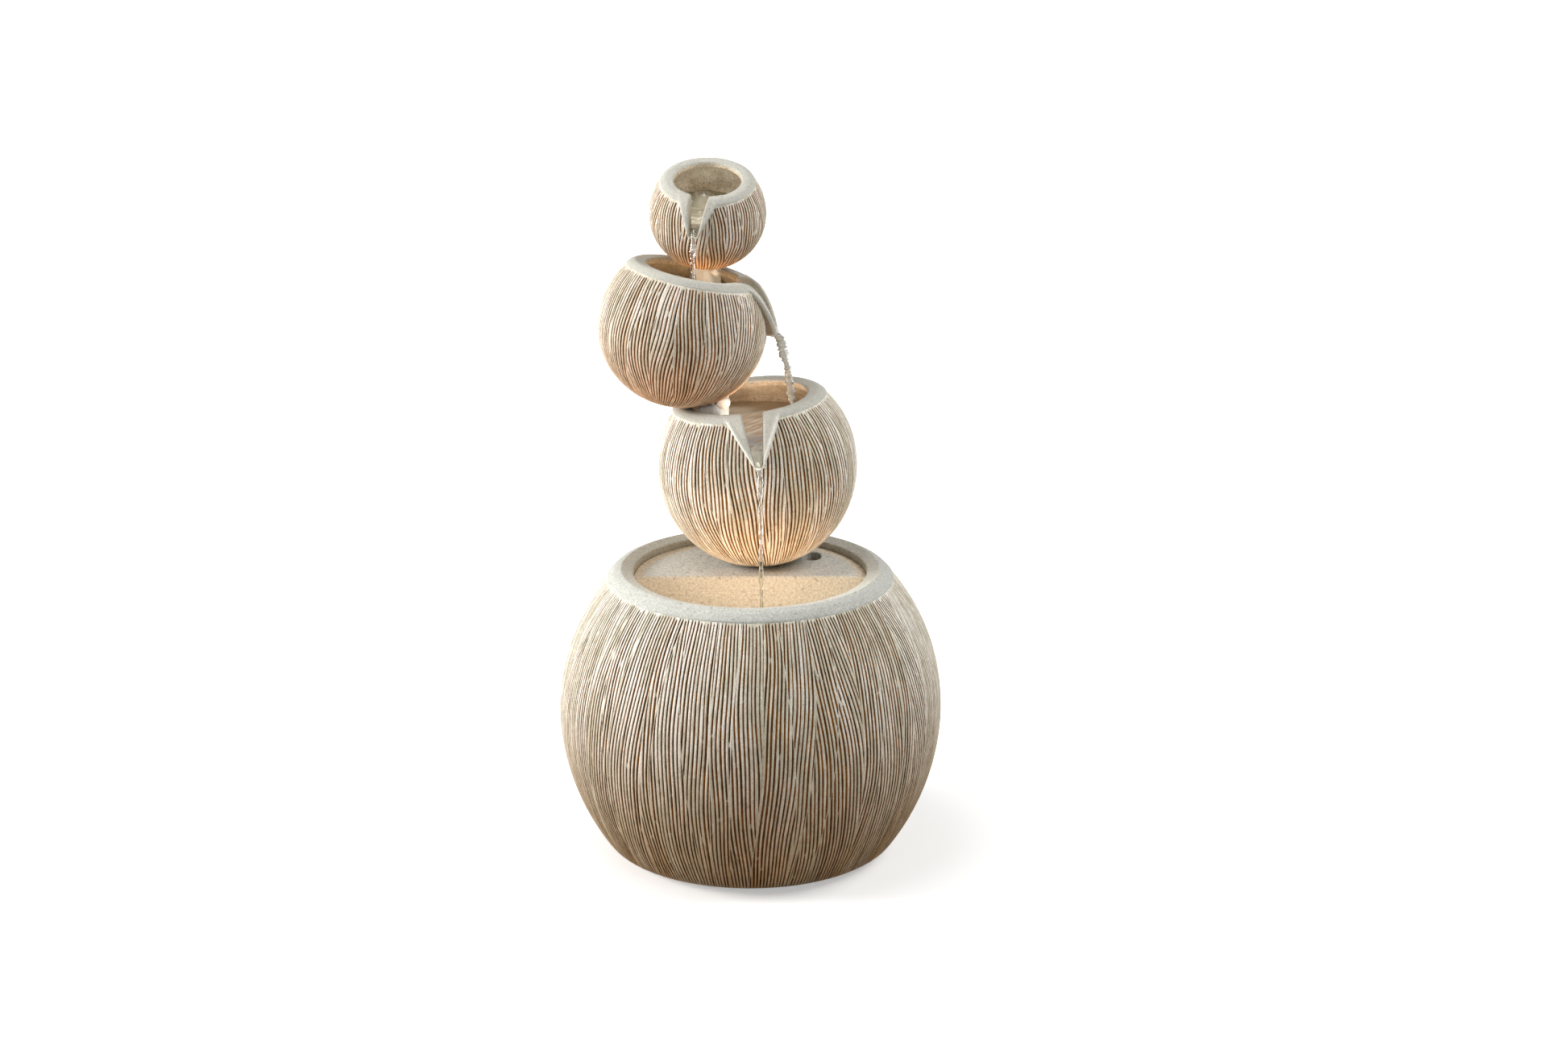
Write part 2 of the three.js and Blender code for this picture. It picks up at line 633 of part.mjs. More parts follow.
// A rubber sleeve round the riser where it passes a bowl's floor.
function riserSeal(b) {
  const from = b.crossingZ - b.floorThick - sealLip;
  const to = b.crossingZ + sealLip;
  return cut(barAlong(riserBetween(from, to), tubeRadius + sealThick, 3, 12), riserForm(tubeClear));
}

function riserTube() {
  const [endX, endY] = riserBends.at(-1);
  const bore = curveThrough([
    [tubeAxis.x, tubeAxis.y, tubeFootZ - tubeBore],
    ...riserCurve.getPoints(tubeSteps).map((p) => [p.x, p.y, p.z]).slice(1, -1),
    [endX, endY, riserEndZ + tubeBore],
  ]);
  return cut(riserForm(0), barAlong(bore, tubeBore, tubeSteps + 1, 8));
}

// ---------- Deck ----------
function deck() {
  const radius = mouthRadius - deckPlay;
  const front = block([-cutReach, -cutReach, 0], [cutReach, deckFrontY, cutReach]);
  const plate = cut(disc(radius, deckTopZ - deckThick, deckTopZ, ballSides), front);
  const behindSkirt = block([-cutReach, deckFrontY + skirtThick, 0], [cutReach, cutReach, cutReach]);
  const skirtBody = disc(radius, deckTopZ - skirtDrop, deckTopZ - deckThick / 2, ballSides);
  const skirt = cut(skirtBody, front, behindSkirt);
  const shaft = moved(disc(deckShaftRadius, 0, cutReach), translation(tubeAxis.x, tubeAxis.y, 0));
  const finger = solid(
    new THREE.CapsuleGeometry(fingerHole.radius, fingerHole.length, 4, 14).scale(1, 1, 3),
  );
  const fingerAt = moved(finger, translation(fingerHole.x, fingerHole.y, deckTopZ));
  return cut(join(plate, skirt), shaft, fingerAt, leadBase(leadClear));
}

// ---------- Lamps ----------
// A round lamp standing on z = 0: housing, board with its light source, and a domed lens.
function lampHousing() {
  return turned([
    [0, 0], [lampRadius - lampEdge, 0], [lampRadius, lampEdge], [lampRadius, lampHeight],
    [lampRadius - lampWall, lampHeight],
    [lampRadius - lampWall, lampWall], [0, lampWall],
  ]);
}

function lampLed() {
  const z = lampWall + gap;
  return join(
    disc(lampRadius - lampWall - gap, z, z + boardThick),
    disc(ledRadius, z + boardThick / 2, z + boardThick + ledThick, 12),
  );
}

function lampLens() {
  const radius = lampRadius - lampWall - gap;
  const bottom = lampHeight - lensSeat;
  return turned([
    [0, bottom], [radius, bottom], [radius, lampHeight], [radius * 0.86, lampHeight + lensRise * 0.5],
    [radius * 0.5, lampHeight + lensRise * 0.9], [0, lampHeight + lensRise],
  ]);
}

function addLamp(name, parent, frame) {
  const place = new THREE.Group();
  place.applyMatrix4(frame);
  parent.add(place);
  mesh(name + "_housing", lampHousing(), blackPlastic, place);
  mesh(name + "_led", lampLed(), warmLed, place);
  mesh(name + "_lens", lampLens(), clearLens, place);
}

// The frame of the lamp that hangs on the deck's skirt, tilted towards the tower.
const baseLampFrame = () =>
  new THREE.Matrix4()
    .makeRotationX(THREE.MathUtils.degToRad(baseLamp.tilt))
    .setPosition(baseLamp.x, -baseLamp.standOff, baseLamp.z);

// A plate on the skirt's face with a shelf that carries the lamp.
function lampBracket() {
  const { x, z, standOff } = baseLamp;
  const plate = block(
    [x - bracketHalfWidth, deckFrontY - gap - bracketThick, z - bracketDrop],
    [x + bracketHalfWidth, deckFrontY - gap, z + lampHeight],
  );
  const shelf = block(
    [-bracketHalfWidth, -lampRadius * 0.7, -gap - bracketThick],
    [bracketHalfWidth, standOff + bracketThick, -gap],
  );
  const behindPlate = block([-cutReach, deckFrontY - gap, 0], [cutReach, cutReach, cutReach]);
  return cut(join(plate, moved(shelf, baseLampFrame())), behindPlate, leadBase(leadClear));
}

// ---------- Pump ----------
// The pump is drawn with its axis along Z, then laid along Y: local +Z becomes the front.
const pump = new THREE.Group();
pump.rotation.x = Math.PI / 2;
pump.position.set(tubeAxis.x, tubeAxis.y, pumpAxisZ);
const chamberFront = chamberDepth / 2; // the nozzle stands over the chamber's middle
const chamberRear = -chamberDepth / 2;

function pumpChamber() {
  const shell = disc(chamberRadius, chamberRear, chamberFront, 32);
  const nozzle = join(
    disc(nozzleShoulder, chamberBore, tubeFootRise - gap),
    disc(nozzleRadius, chamberBore, nozzleRise),
  );
  const bore = disc(nozzleBore, chamberBore - nozzleBore, nozzleRise + nozzleBore, 12);
  const upright = (body) => moved(body, new THREE.Matrix4().makeRotationX(-Math.PI / 2));
  return cut(
    join(shell, upright(nozzle)),
    disc(chamberBore, chamberRear + chamberBack, chamberFront + chamberBack, 32),
    disc(rotorWell, chamberRear - chamberBack, chamberFront),
    upright(bore),
  );
}

const motorFront = chamberRear - gap;
const motorRear = motorFront - motorLength;
const wellDepth = rotorLength - chamberBack + rotorPlay;

function pumpMotor() {
  const slab = roundedSlab(2 * motorHalfWidth, 2 * motorHalfHeight, motorLength, motorRound);
  return cut(
    moved(slab, translation(0, 0, motorRear)),
    disc(rotorWell, motorFront - wellDepth, motorFront + rotorPlay),
    disc(shaftRadius + shaftClear, motorFront - wellDepth - shaftSocket, motorFront, 10),
  );
}

const impellerBack = chamberRear + chamberBack + gap;
function impeller() {
  const top = impellerBack + impellerThick;
  const blade = block(
    [impellerHub / 2, -bladeHalfThick, impellerBack + impellerPlate / 2],
    [impellerRadius - gap, bladeHalfThick, top],
  );
  const step = 360 / impellerBlades;
  const blades = Array.from({ length: impellerBlades }, (_, i) => turnedBy(blade, step * i));
  return cut(
    join(
      disc(impellerRadius, impellerBack, impellerBack + impellerPlate),
      disc(impellerHub, impellerBack, top, 16),
      ...blades,
    ),
    disc(shaftRadius + shaftClear, impellerBack - impellerPlate, top + impellerPlate, 10),
  );
}

const rotorFront = impellerBack - gap;
const rotorMagnet = () =>
  ring(shaftRadius + shaftClear, rotorRadius, rotorFront - rotorLength + rotorPlay / 2, rotorFront, 20);
const shaftRear = motorFront - wellDepth - shaftSocket + gap;
const shaftFront = impellerBack + impellerThick + shaftReach;
const impellerShaft = () => disc(shaftRadius, shaftRear, shaftFront, 10);

// The slotted cap over the intake.
const coverBack = chamberFront + gap;
function intakeCover() {
  const front = coverBack + coverDepth;
  const shell = cut(
    disc(chamberRadius, coverBack, front, 32),
    disc(chamberRadius - coverWall, coverBack - coverWall, front - coverWall, 32),
  );
  const slotBox = block(
    [dialHub + slotMargin, -slotHalfWidth, front - 2 * coverWall],
    [chamberRadius - coverWall - slotMargin, slotHalfWidth, front + coverWall],
  );
  const slots = [0, 180].flatMap((fan) => slotOffsets.map((offset) => turnedBy(slotBox, fan + offset)));
  const bushSeat = ring(bushRadius, bushRadius + coverWall, shaftFront - bushOverlap, front - coverWall / 2);
  return cut(join(shell, bushSeat), disc(dialPin + gap, front - 2 * coverWall, front + coverWall), ...slots);
}

const shaftBush = () =>
  cut(
    disc(bushRadius - gap, shaftFront - bushOverlap + gap, coverBack + coverDepth - coverWall - gap),
    disc(shaftRadius + shaftClear, shaftFront - bushOverlap, shaftFront + shaftClear, 10),
  );

// The dial's two vanes stand clear of the slots at rest, and cover them after a quarter turn.
function flowDial() {
  const back = coverBack + coverDepth + gap;
  const half = THREE.MathUtils.degToRad(dialVaneSpan / 2);
  const fan = new THREE.Shape();
  fan.moveTo(0, 0);
  fan.lineTo(dialVaneRadius * Math.cos(half), -dialVaneRadius * Math.sin(half));
  fan.absarc(0, 0, dialVaneRadius, -half, half);
  fan.closePath();
  const options = { depth: dialThick, bevelEnabled: false, curveSegments: 8 };
  const vane = solid(new THREE.ExtrudeGeometry(fan, options).translate(0, 0, back));
  const grip = block(
    [-dialGrip.width / 2, -dialGrip.length / 2, back],
    [dialGrip.width / 2, dialGrip.length / 2, back + dialThick + dialGrip.height],
  );
  const pin = disc(dialPin, back - coverWall, back + dialThick / 2);
  return join(disc(dialHub, back, back + dialThick), turnedBy(vane, 90), turnedBy(vane, -90), grip, pin);
}

// A suction cup standing on z = 0.
const suctionCup = () =>
  turned([
    [0, cupHollow],
    [cupRadius - cupLip, 0],
    [cupRadius, 0],
    [cupRadius, cupLip],
    [cupRadius / 2, cupHeight / 2],
    [cupStem, cupHeight],
    [0, cupHeight],
  ]);

// ---------- Leads ----------
const motorMiddleY = tubeAxis.y - (motorFront + motorRear) / 2;
const junctionTopZ = deckTopZ - deckThick - gap;
const junctionFace = { x: junction.x + junction.width / 2 + gap, z: junctionTopZ - junction.height / 2 };
const plugTopZ = junctionTopZ - junction.height - gap;

// From the lamp in the middle bowl, down behind the riser, to the junction under the deck.
function leadMiddle(margin = 0) {
  const { top, bottom, count } = leadMiddleLevels;
  const behindTube = Array.from({ length: count + 1 }, (_, i) => {
    const z = top + ((bottom - top) * i) / count;
    const p = riserAt(z);
    return [p.x, p.y + leadOffset, z];
  });
  const route = curveThrough([
    ...throughFloor(bowls.middle, lampPlaces.middle),
    ...behindTube,
    [junctionFace.x + leadEntry.long, junction.y + 2 * leadEntry.side, junctionFace.z],
    [junctionFace.x + leadEntry.short, junction.y + leadEntry.side, junctionFace.z],
    [junctionFace.x, junction.y + leadEntry.side, junctionFace.z],
  ]);
  return barAlong(route, leadRadius + margin, 32, 6);
}

// From the lamp in the lower bowl to the junction.
function leadLower(margin = 0) {
  const route = curveThrough([
    ...throughFloor(bowls.lower, lampPlaces.lower),
    ...leadLowerBends.map(([x, y, z]) => [tubeAxis.x + x, tubeAxis.y + y, z]),
    [junctionFace.x + leadEntry.short, junction.y - leadEntry.side, junctionFace.z],
    [junctionFace.x, junction.y - leadEntry.side, junctionFace.z],
  ]);
  return barAlong(route, leadRadius + margin, 20, 6);
}

// From the lamp on the skirt, through the skirt, to the junction.
function leadBase(margin = 0) {
  const start = new THREE.Vector3(0, lampRadius + gap, lampHeight / 2).applyMatrix4(baseLampFrame());
  const entryY = junction.y - 2 * leadEntry.side;
  const entryZ = junctionFace.z - leadEntry.drop;
  const route = curveThrough([
    start.toArray(),
    ...leadBaseBends.map(([x, y, z]) => [baseLamp.x + x, y, start.z + z]),
    [baseLamp.x + leadBaseDip.x, leadBaseDip.y, junctionFace.z + leadBaseDip.z],
    [junctionFace.x + leadEntry.short, entryY, entryZ],
    [junctionFace.x, entryY, entryZ],
  ]);
  return barAlong(route, leadRadius + margin, 16, 6);
}

// From the pump's side up to the plug that feeds the junction.
function leadSupply() {
  const sideX = tubeAxis.x - motorHalfWidth - gap;
  const { start, rise, middle, upper } = supplyLevels;
  const plugFootZ = plugTopZ - plug.height - gap;
  const route = curveThrough([
    [sideX, motorMiddleY, pumpAxisZ + start],
    [sideX - supplyBend, motorMiddleY, pumpAxisZ + start],
    [junction.x, motorMiddleY, pumpAxisZ + rise],
    [junction.x, (motorMiddleY + junction.y) / 2, middle],
    [junction.x, junction.y, upper],
    [junction.x, junction.y, plugFootZ - supplyBend],
    [junction.x, junction.y, plugFootZ],
  ]);
  return barAlong(route, leadRadius, 20, 6);
}

// From the back of the pump up the reservoir's wall to the cord gland.
function pumpLead() {
  const rearY = tubeAxis.y - motorRear;
  const wallY = (z) => baseOuter(z, baseWall) - pumpLeadStandOff;
  const onGlandAxis = (along) => new THREE.Vector3(0, 0, glandInnerEnd - along).applyMatrix4(glandFrame());
  const route = curveThrough([
    [tubeAxis.x, rearY + gap, pumpAxisZ],
    [tubeAxis.x, rearY + 2 * pumpLeadRadius, pumpAxisZ],
    ...pumpLeadLevels.map((z, i) => [tubeAxis.x + pumpLeadDrift[i], wallY(z), z]),
    onGlandAxis(glandFlange).toArray(),
    onGlandAxis(glandFlange / 2).toArray(),
    onGlandAxis(gap).toArray(),
  ]);
  return barAlong(route, pumpLeadRadius, 20, 8);
}

// ---------- Assembly ----------
mesh("base_vessel", reservoirBall(), ribbedStone);
const padDegrees = [45, 135, 225, 315];
padDegrees.forEach((degrees, i) => {
  const a = THREE.MathUtils.degToRad(degrees);
  const pad = mesh("foot_pad_" + (i + 1), disc(padRadius, 0, padThick), rubber);
  pad.position.set(padCircle * Math.cos(a), padCircle * Math.sin(a), 0);
});
const gland = mesh("cord_gland", cordGland(), rubber);
gland.applyMatrix4(glandFrame());

mesh("reservoir_deck", deck(), stone);
mesh("lower_bowl", lowerBowl(), ribbedStone, bowls.lower.group);
mesh("middle_bowl", middleBowl(), ribbedStone, bowls.middle.group);
mesh("top_bowl", topBowl(), ribbedStone, bowls.top.group);
mesh("middle_support", support(bowls.lower, bowls.middle, supportShift, leadMiddle(leadClear)), stone);
mesh("top_support", support(bowls.middle, bowls.top, 0), stone);
mesh("riser_tube", riserTube(), vinyl);
mesh("riser_seal_lower", riserSeal(bowls.lower), rubber);
mesh("riser_seal_middle", riserSeal(bowls.middle), rubber);
mesh("riser_seal_top", riserSeal(bowls.top), rubber);

for (const which of ["lower", "middle"]) {
  const b = bowls[which];
  addLamp("lamp_" + which, b.group, translation(...lampPlaces[which], b.floor + gap));
}
addLamp("lamp_base", fountain, baseLampFrame());
mesh("lamp_bracket", lampBracket(), greyPlastic);

fountain.add(pump);
mesh("pump_chamber", pumpChamber(), blackPlastic, pump);
mesh("pump_motor", pumpMotor(), blackPlastic, pump);
mesh("rotor_magnet", rotorMagnet(), magnetBlack, pump);
mesh("impeller", impeller(), greyPlastic, pump);
mesh("impeller_shaft", impellerShaft(), ceramicWhite, pump);
mesh("shaft_bush", shaftBush(), rubber, pump);
mesh("intake_cover", intakeCover(), blackPlastic, pump);
mesh("flow_dial", flowDial(), greyPlastic, pump);
const cupZ = pumpAxisZ - motorHalfHeight - gap - cupHeight;
const rearCupY = Math.sqrt(
  (flatFloorRadius - cupRadius - cupWallClear) ** 2 - (tubeAxis.x + cupSpread.x) ** 2,
);
[[-1, -2], [1, -2], [-1, 0], [1, 0]].forEach(([sideX, rows], i) => {
  const cup = mesh("suction_cup_" + (i + 1), suctionCup(), rubber);
  cup.position.set(tubeAxis.x + sideX * cupSpread.x, rearCupY + rows * cupSpread.y, cupZ);
});

mesh("lead_lower", leadLower(), rubber);
mesh("lead_middle", leadMiddle(), rubber);
mesh("lead_base", leadBase(), rubber);
mesh("lead_supply", leadSupply(), rubber);
mesh("pump_lead", pumpLead(), rubber);
const hangingSlab = ({ width, depth, height }, topZ) => {
  const slab = roundedSlab(width, depth, height, junction.round);
  return moved(slab, translation(junction.x, junction.y, topZ - height));
};
mesh("lead_junction", hangingSlab(junction, junctionTopZ), blackPlastic);
mesh("lamp_plug", hangingSlab(plug, plugTopZ), blackPlastic);

export default fountain;
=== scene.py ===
import json
import math
import bpy
import numpy as np
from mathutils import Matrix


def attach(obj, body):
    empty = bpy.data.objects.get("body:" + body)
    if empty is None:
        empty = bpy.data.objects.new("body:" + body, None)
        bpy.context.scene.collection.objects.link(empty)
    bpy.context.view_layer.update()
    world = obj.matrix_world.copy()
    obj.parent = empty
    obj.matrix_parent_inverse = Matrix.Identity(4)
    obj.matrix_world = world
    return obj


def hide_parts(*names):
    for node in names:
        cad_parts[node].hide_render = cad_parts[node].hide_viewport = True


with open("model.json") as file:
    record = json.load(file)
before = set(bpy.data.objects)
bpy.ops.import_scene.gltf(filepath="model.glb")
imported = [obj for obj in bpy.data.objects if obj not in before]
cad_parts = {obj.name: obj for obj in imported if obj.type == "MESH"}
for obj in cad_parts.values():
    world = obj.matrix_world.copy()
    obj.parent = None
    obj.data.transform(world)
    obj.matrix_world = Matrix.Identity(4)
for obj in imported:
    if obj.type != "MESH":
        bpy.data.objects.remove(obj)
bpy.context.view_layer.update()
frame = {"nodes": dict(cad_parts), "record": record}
print("frame loaded")


def addObject(name, data):
    thing = bpy.data.objects.new(name, data)
    bpy.context.scene.collection.objects.link(thing)
    return thing


cameraView = {"place": (0.0211, -2.2877, 0.9382), "tilt": 72.4, "lens": 88.8, "sensor": 36}
camera = addObject("camera", bpy.data.cameras.new("camera"))
camera.data.lens, camera.data.sensor_width = cameraView["lens"], cameraView["sensor"]
camera.location = cameraView["place"]
camera.rotation_euler = (math.radians(cameraView["tilt"]), 0, 0)
bpy.context.scene.camera = camera


# Puts points, worked out in millimetres, and sets of faces into a mesh in metres. Each face set is an array with
# one face a row; values are point attributes, one number or one vector for each point.
def makePiece(name, points, faceSets, body, material, replaced=(), slotName="smooth_stone", values=None):
    mesh = bpy.data.meshes.new(name)
    mesh.vertices.add(len(points))
    mesh.vertices.foreach_set("co", (np.asarray(points) * 0.001).astype(np.float32).ravel())
    corners = np.concatenate([f.ravel() for f in faceSets]).astype(np.int32)
    sizes = np.concatenate([np.full(len(f), f.shape[1]) for f in faceSets])
    starts = np.concatenate([[0], np.cumsum(sizes)[:-1]]).astype(np.int32)
    mesh.loops.add(len(corners))
    mesh.loops.foreach_set("vertex_index", corners)
    mesh.polygons.add(len(sizes))
    mesh.polygons.foreach_set("loop_start", starts)
    mesh.update(calc_edges=True)
    mesh.validate()
    mesh.shade_smooth()
    for key, value in (values or {}).items():
        kind, field = ("FLOAT_VECTOR", "vector") if value.ndim == 2 else ("FLOAT", "value")
        mesh.attributes.new(key, kind, "POINT").data.foreach_set(field, value.astype(np.float32).ravel())
    mesh.materials.append(material)
    piece = addObject(name, mesh)
    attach(piece, body)
    if replaced:
        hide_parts(*replaced)
    return piece


# Quads between rings of points. Closed, the last ring joins the first; otherwise a fan closes each end on the
# point before the first ring and the one after the last.
def ringFaces(rows, columns, closed=False):
    row = np.arange(rows if closed else rows - 1)[:, None]
    column = np.arange(columns)
    after, nextRow = (column + 1) % columns, (row + 1) % rows
    quads = np.stack([row * columns + column, row * columns + after,
                      nextRow * columns + after, nextRow * columns + column], -1).reshape(-1, 4)
    if closed:
        return [quads]
    first, end = 1 + (rows - 1) * columns, 1 + rows * columns
    return [quads + 1, np.stack([0 * column, after + 1, column + 1], -1),
            np.stack([0 * column + end, first + column, first + after], -1)]


# Points and faces of rings carried from one end point to the other; flip turns the faces over.
def cappedRings(start, rings, end, flip=False):
    faces = ringFaces(*rings.shape[:2])
    points = np.concatenate([[start], rings.reshape(-1, 3), [end]])
    return points, [f[:, ::-1] for f in faces] if flip else faces


def fullTurn(columns):  # angles of evenly spaced columns
    return np.linspace(0, 2 * np.pi, columns, endpoint=False)


# A profile of (radius, height) points carried round the axis, its end points on the axis; inward draws points in.
def turnedGrid(profile, columns, inward=0.0):
    profile, turn = np.asarray(profile, float), fullTurn(columns)
    r, z = profile[1:-1, :1] - inward, profile[1:-1, 1:] + 0 * turn
    rings = np.stack([r * np.cos(turn), r * np.sin(turn), z], -1)
    return cappedRings([0, 0, profile[0, 1]], rings, [0, 0, profile[-1, 1]])


def smoothStep(low, high, x):  # 3 t^2 - 2 t^3 of the share t from low to high; low may be the greater
    t = np.clip((x - low) / (high - low), 0, 1)
    return t * t * (3 - 2 * t)


# Sets a node's inputs, by name or index, to values or links them to sockets.
def setInputs(tree, node, inputs):
    for key, value in inputs.items():
        if isinstance(value, bpy.types.NodeSocket):
            tree.links.new(value, node.inputs[key])
        else:
            node.inputs[key].default_value = value
    return node


# Adds a shader node with its settings, which come before its inputs as they can change them.
def addNode(tree, kind, inputs=None, **settings):
    node = tree.nodes.new("ShaderNode" + kind)
    for key, value in settings.items():
        setattr(node, key, value)
    return setInputs(tree, node, inputs or {})


def mathNode(tree, operation, a, b=0.0, clamp=False):
    return addNode(tree, "Math", {0: a, 1: b}, operation=operation, use_clamp=clamp).outputs[0]


def centred(tree, value, scale):  # (value - 0.5) scale
    return mathNode(tree, "MULTIPLY", mathNode(tree, "SUBTRACT", value, 0.5), scale)


def mixColour(tree, share, a, b, blend="MIX"):
    return addNode(tree, "Mix", {0: share, 6: a, 7: b}, data_type="RGBA", blend_type=blend).outputs[2]


def scaledColour(tree, colour, tone):
    return addNode(tree, "VectorMath", {0: colour, "Scale": tone}, operation="SCALE").outputs[0]


# Maps a value from one range to another, smoothly and clamped.
def rangeNode(tree, value, low, high, toLow=0.0, toHigh=1.0):
    inputs = {0: value, 1: low, 2: high, 3: toLow, 4: toHigh}
    return addNode(tree, "MapRange", inputs, interpolation_type="SMOOTHSTEP").outputs[0]


def noiseNode(tree, vector, scale, detail=2.0, roughness=0.5):
    inputs = {"Vector": vector, "Scale": scale, "Detail": detail, "Roughness": roughness}
    return addNode(tree, "TexNoise", inputs).outputs["Fac"]


def bumpNode(tree, height, strength, distance):
    return addNode(tree, "Bump", {"Height": height, "Strength": strength, "Distance": distance}).outputs[0]


def attributeNode(tree, name, output="Fac"):
    return addNode(tree, "Attribute", attribute_name=name).outputs[output]


def objectPlace(tree):
    return addNode(tree, "TexCoord").outputs["Object"]


# A node group with its inputs' defaults: a tuple makes a colour, a number makes a number.
def newGroup(name, inputs, outputs):
    tree = bpy.data.node_groups.new(name, "ShaderNodeTree")
    for label, default in inputs.items():
        kind = "NodeSocketColor" if isinstance(default, tuple) else "NodeSocketFloat"
        tree.interface.new_socket(label, in_out="INPUT", socket_type=kind).default_value = default
    for label in outputs:
        kind = "NodeSocketColor" if label == "Colour" else "NodeSocketFloat"
        tree.interface.new_socket(label, in_out="OUTPUT", socket_type=kind)
    return tree, tree.nodes.new("NodeGroupInput").outputs, tree.nodes.new("NodeGroupOutput")


def newMaterial(name):
    material = bpy.data.materials.new(name)
    material.use_nodes = True
    return material, material.node_tree, material.node_tree.nodes["Principled BSDF"]


def setSurface(tree, socket):
    tree.links.new(socket, tree.nodes["Material Output"].inputs["Surface"])


# Shadow rays meet a tinted clear surface in place of the shader, so light reaches what lies behind.
def passShadows(tree, socket, tint):
    clear = addNode(tree, "BsdfTransparent", {"Color": tint}).outputs[0]
    shadow = addNode(tree, "LightPath").outputs["Is Shadow Ray"]
    setSurface(tree, addNode(tree, "MixShader", {0: shadow, 1: socket, 2: clear}).outputs[0])


# 1 for what the camera sees, straight, in gloss or through glass.
def seenRays(tree):
    path = addNode(tree, "LightPath").outputs
    mirrored = mathNode(tree, "MAXIMUM", path["Is Glossy Ray"], path["Is Transmission Ray"])
    return mathNode(tree, "MAXIMUM", path["Is Camera Ray"], mirrored)


def rgb(red, green, blue):  # 0..255 display values as a linear colour
    parts = [v / 255 for v in (red, green, blue)]
    return tuple(p / 12.92 if p < 0.04045 else ((p + 0.055) / 1.055) ** 2.4 for p in parts) + (1.0,)


# Sand grain of cast stone powder: the colour times 1 + 4 contrast (grain - 0.5) + cloud (clouds - 0.5), less dark
# specks of 0.9 contrast.
def makeSandGroup():
    tree, given, out = newGroup("sand grain", {"Colour": (0.7, 0.7, 0.7, 1), "Grain": 1100.0, "Contrast": 0.2,
                                               "Cloud": 0.12}, ("Colour", "Height"))
    place = objectPlace(tree)
    grain = noiseNode(tree, place, given["Grain"], 3.0, 0.7)
    clouds = noiseNode(tree, place, 22.0, 4.0, 0.6)
    cells = addNode(tree, "TexVoronoi", {"Vector": place, "Scale": given["Grain"]})
    specks = rangeNode(tree, cells.outputs["Color"], 0.86, 0.95)
    tone = mathNode(tree, "MULTIPLY", centred(tree, grain, given["Contrast"]), 4.0)
    tone = mathNode(tree, "ADD", mathNode(tree, "ADD", tone, centred(tree, clouds, given["Cloud"])), 1.0)
    dark = mathNode(tree, "MULTIPLY", specks, mathNode(tree, "MULTIPLY", given["Contrast"], -0.9))
    tone = mathNode(tree, "ADD", tone, dark)
    setInputs(tree, out, {"Colour": scaledColour(tree, given["Colour"], tone), "Height": grain})
    return tree


# Moulded or drawn surface: slight changes of tone and gloss with a broad noise, and a fine one for the bump.
def makeMouldGroup():
    tree, given, out = newGroup("moulded", {"Colour": (0.1, 0.1, 0.1, 1), "Scale": 300.0, "Change": 0.25,
                                            "Low": 0.4, "High": 0.6}, ("Colour", "Roughness", "Height"))
    place = objectPlace(tree)
    fine = noiseNode(tree, place, mathNode(tree, "MULTIPLY", given["Scale"], 5.0), 2.0)
    broad = noiseNode(tree, place, given["Scale"], 3.0)
    tone = mathNode(tree, "ADD", centred(tree, broad, given["Change"]), 1.0)
    gloss = addNode(tree, "MapRange", {0: broad, 1: 0.3, 2: 0.7, 3: given["Low"], 4: given["High"]})
    setInputs(tree, out, {"Colour": scaledColour(tree, given["Colour"], tone), "Roughness": gloss.outputs[0],
                          "Height": fine})
    return tree


sandGroup, mouldGroup = makeSandGroup(), makeMouldGroup()

# Bottom tint: the base goes darker and browner towards its foot; the warm one lays a painted glow of the lamps in
# the bowls below on the upper balls.
combedStone = {
    "rib": rgb(218, 211, 191), "pale": rgb(249, 244, 233), "groove": rgb(142, 92, 34), "deep": rgb(82, 54, 22),
    "warmGroove": rgb(154, 104, 50), "warmDeep": rgb(92, 60, 26), "bottomTint": rgb(160, 130, 92),
    "paintedWarmGlow": rgb(206, 152, 98), "grain": 1100.0, "contrast": 0.26, "relief": 0.35, "roughness": (0.82, 0.95),
    "streaks": 0.9, "fineStreaks": 2.6, "patches": 0.13, "spots": 260.0, "dryBrush": (0.4, 0.62),
    "brownShare": (0.15, 0.55), "brownSkin": 0.4,
}
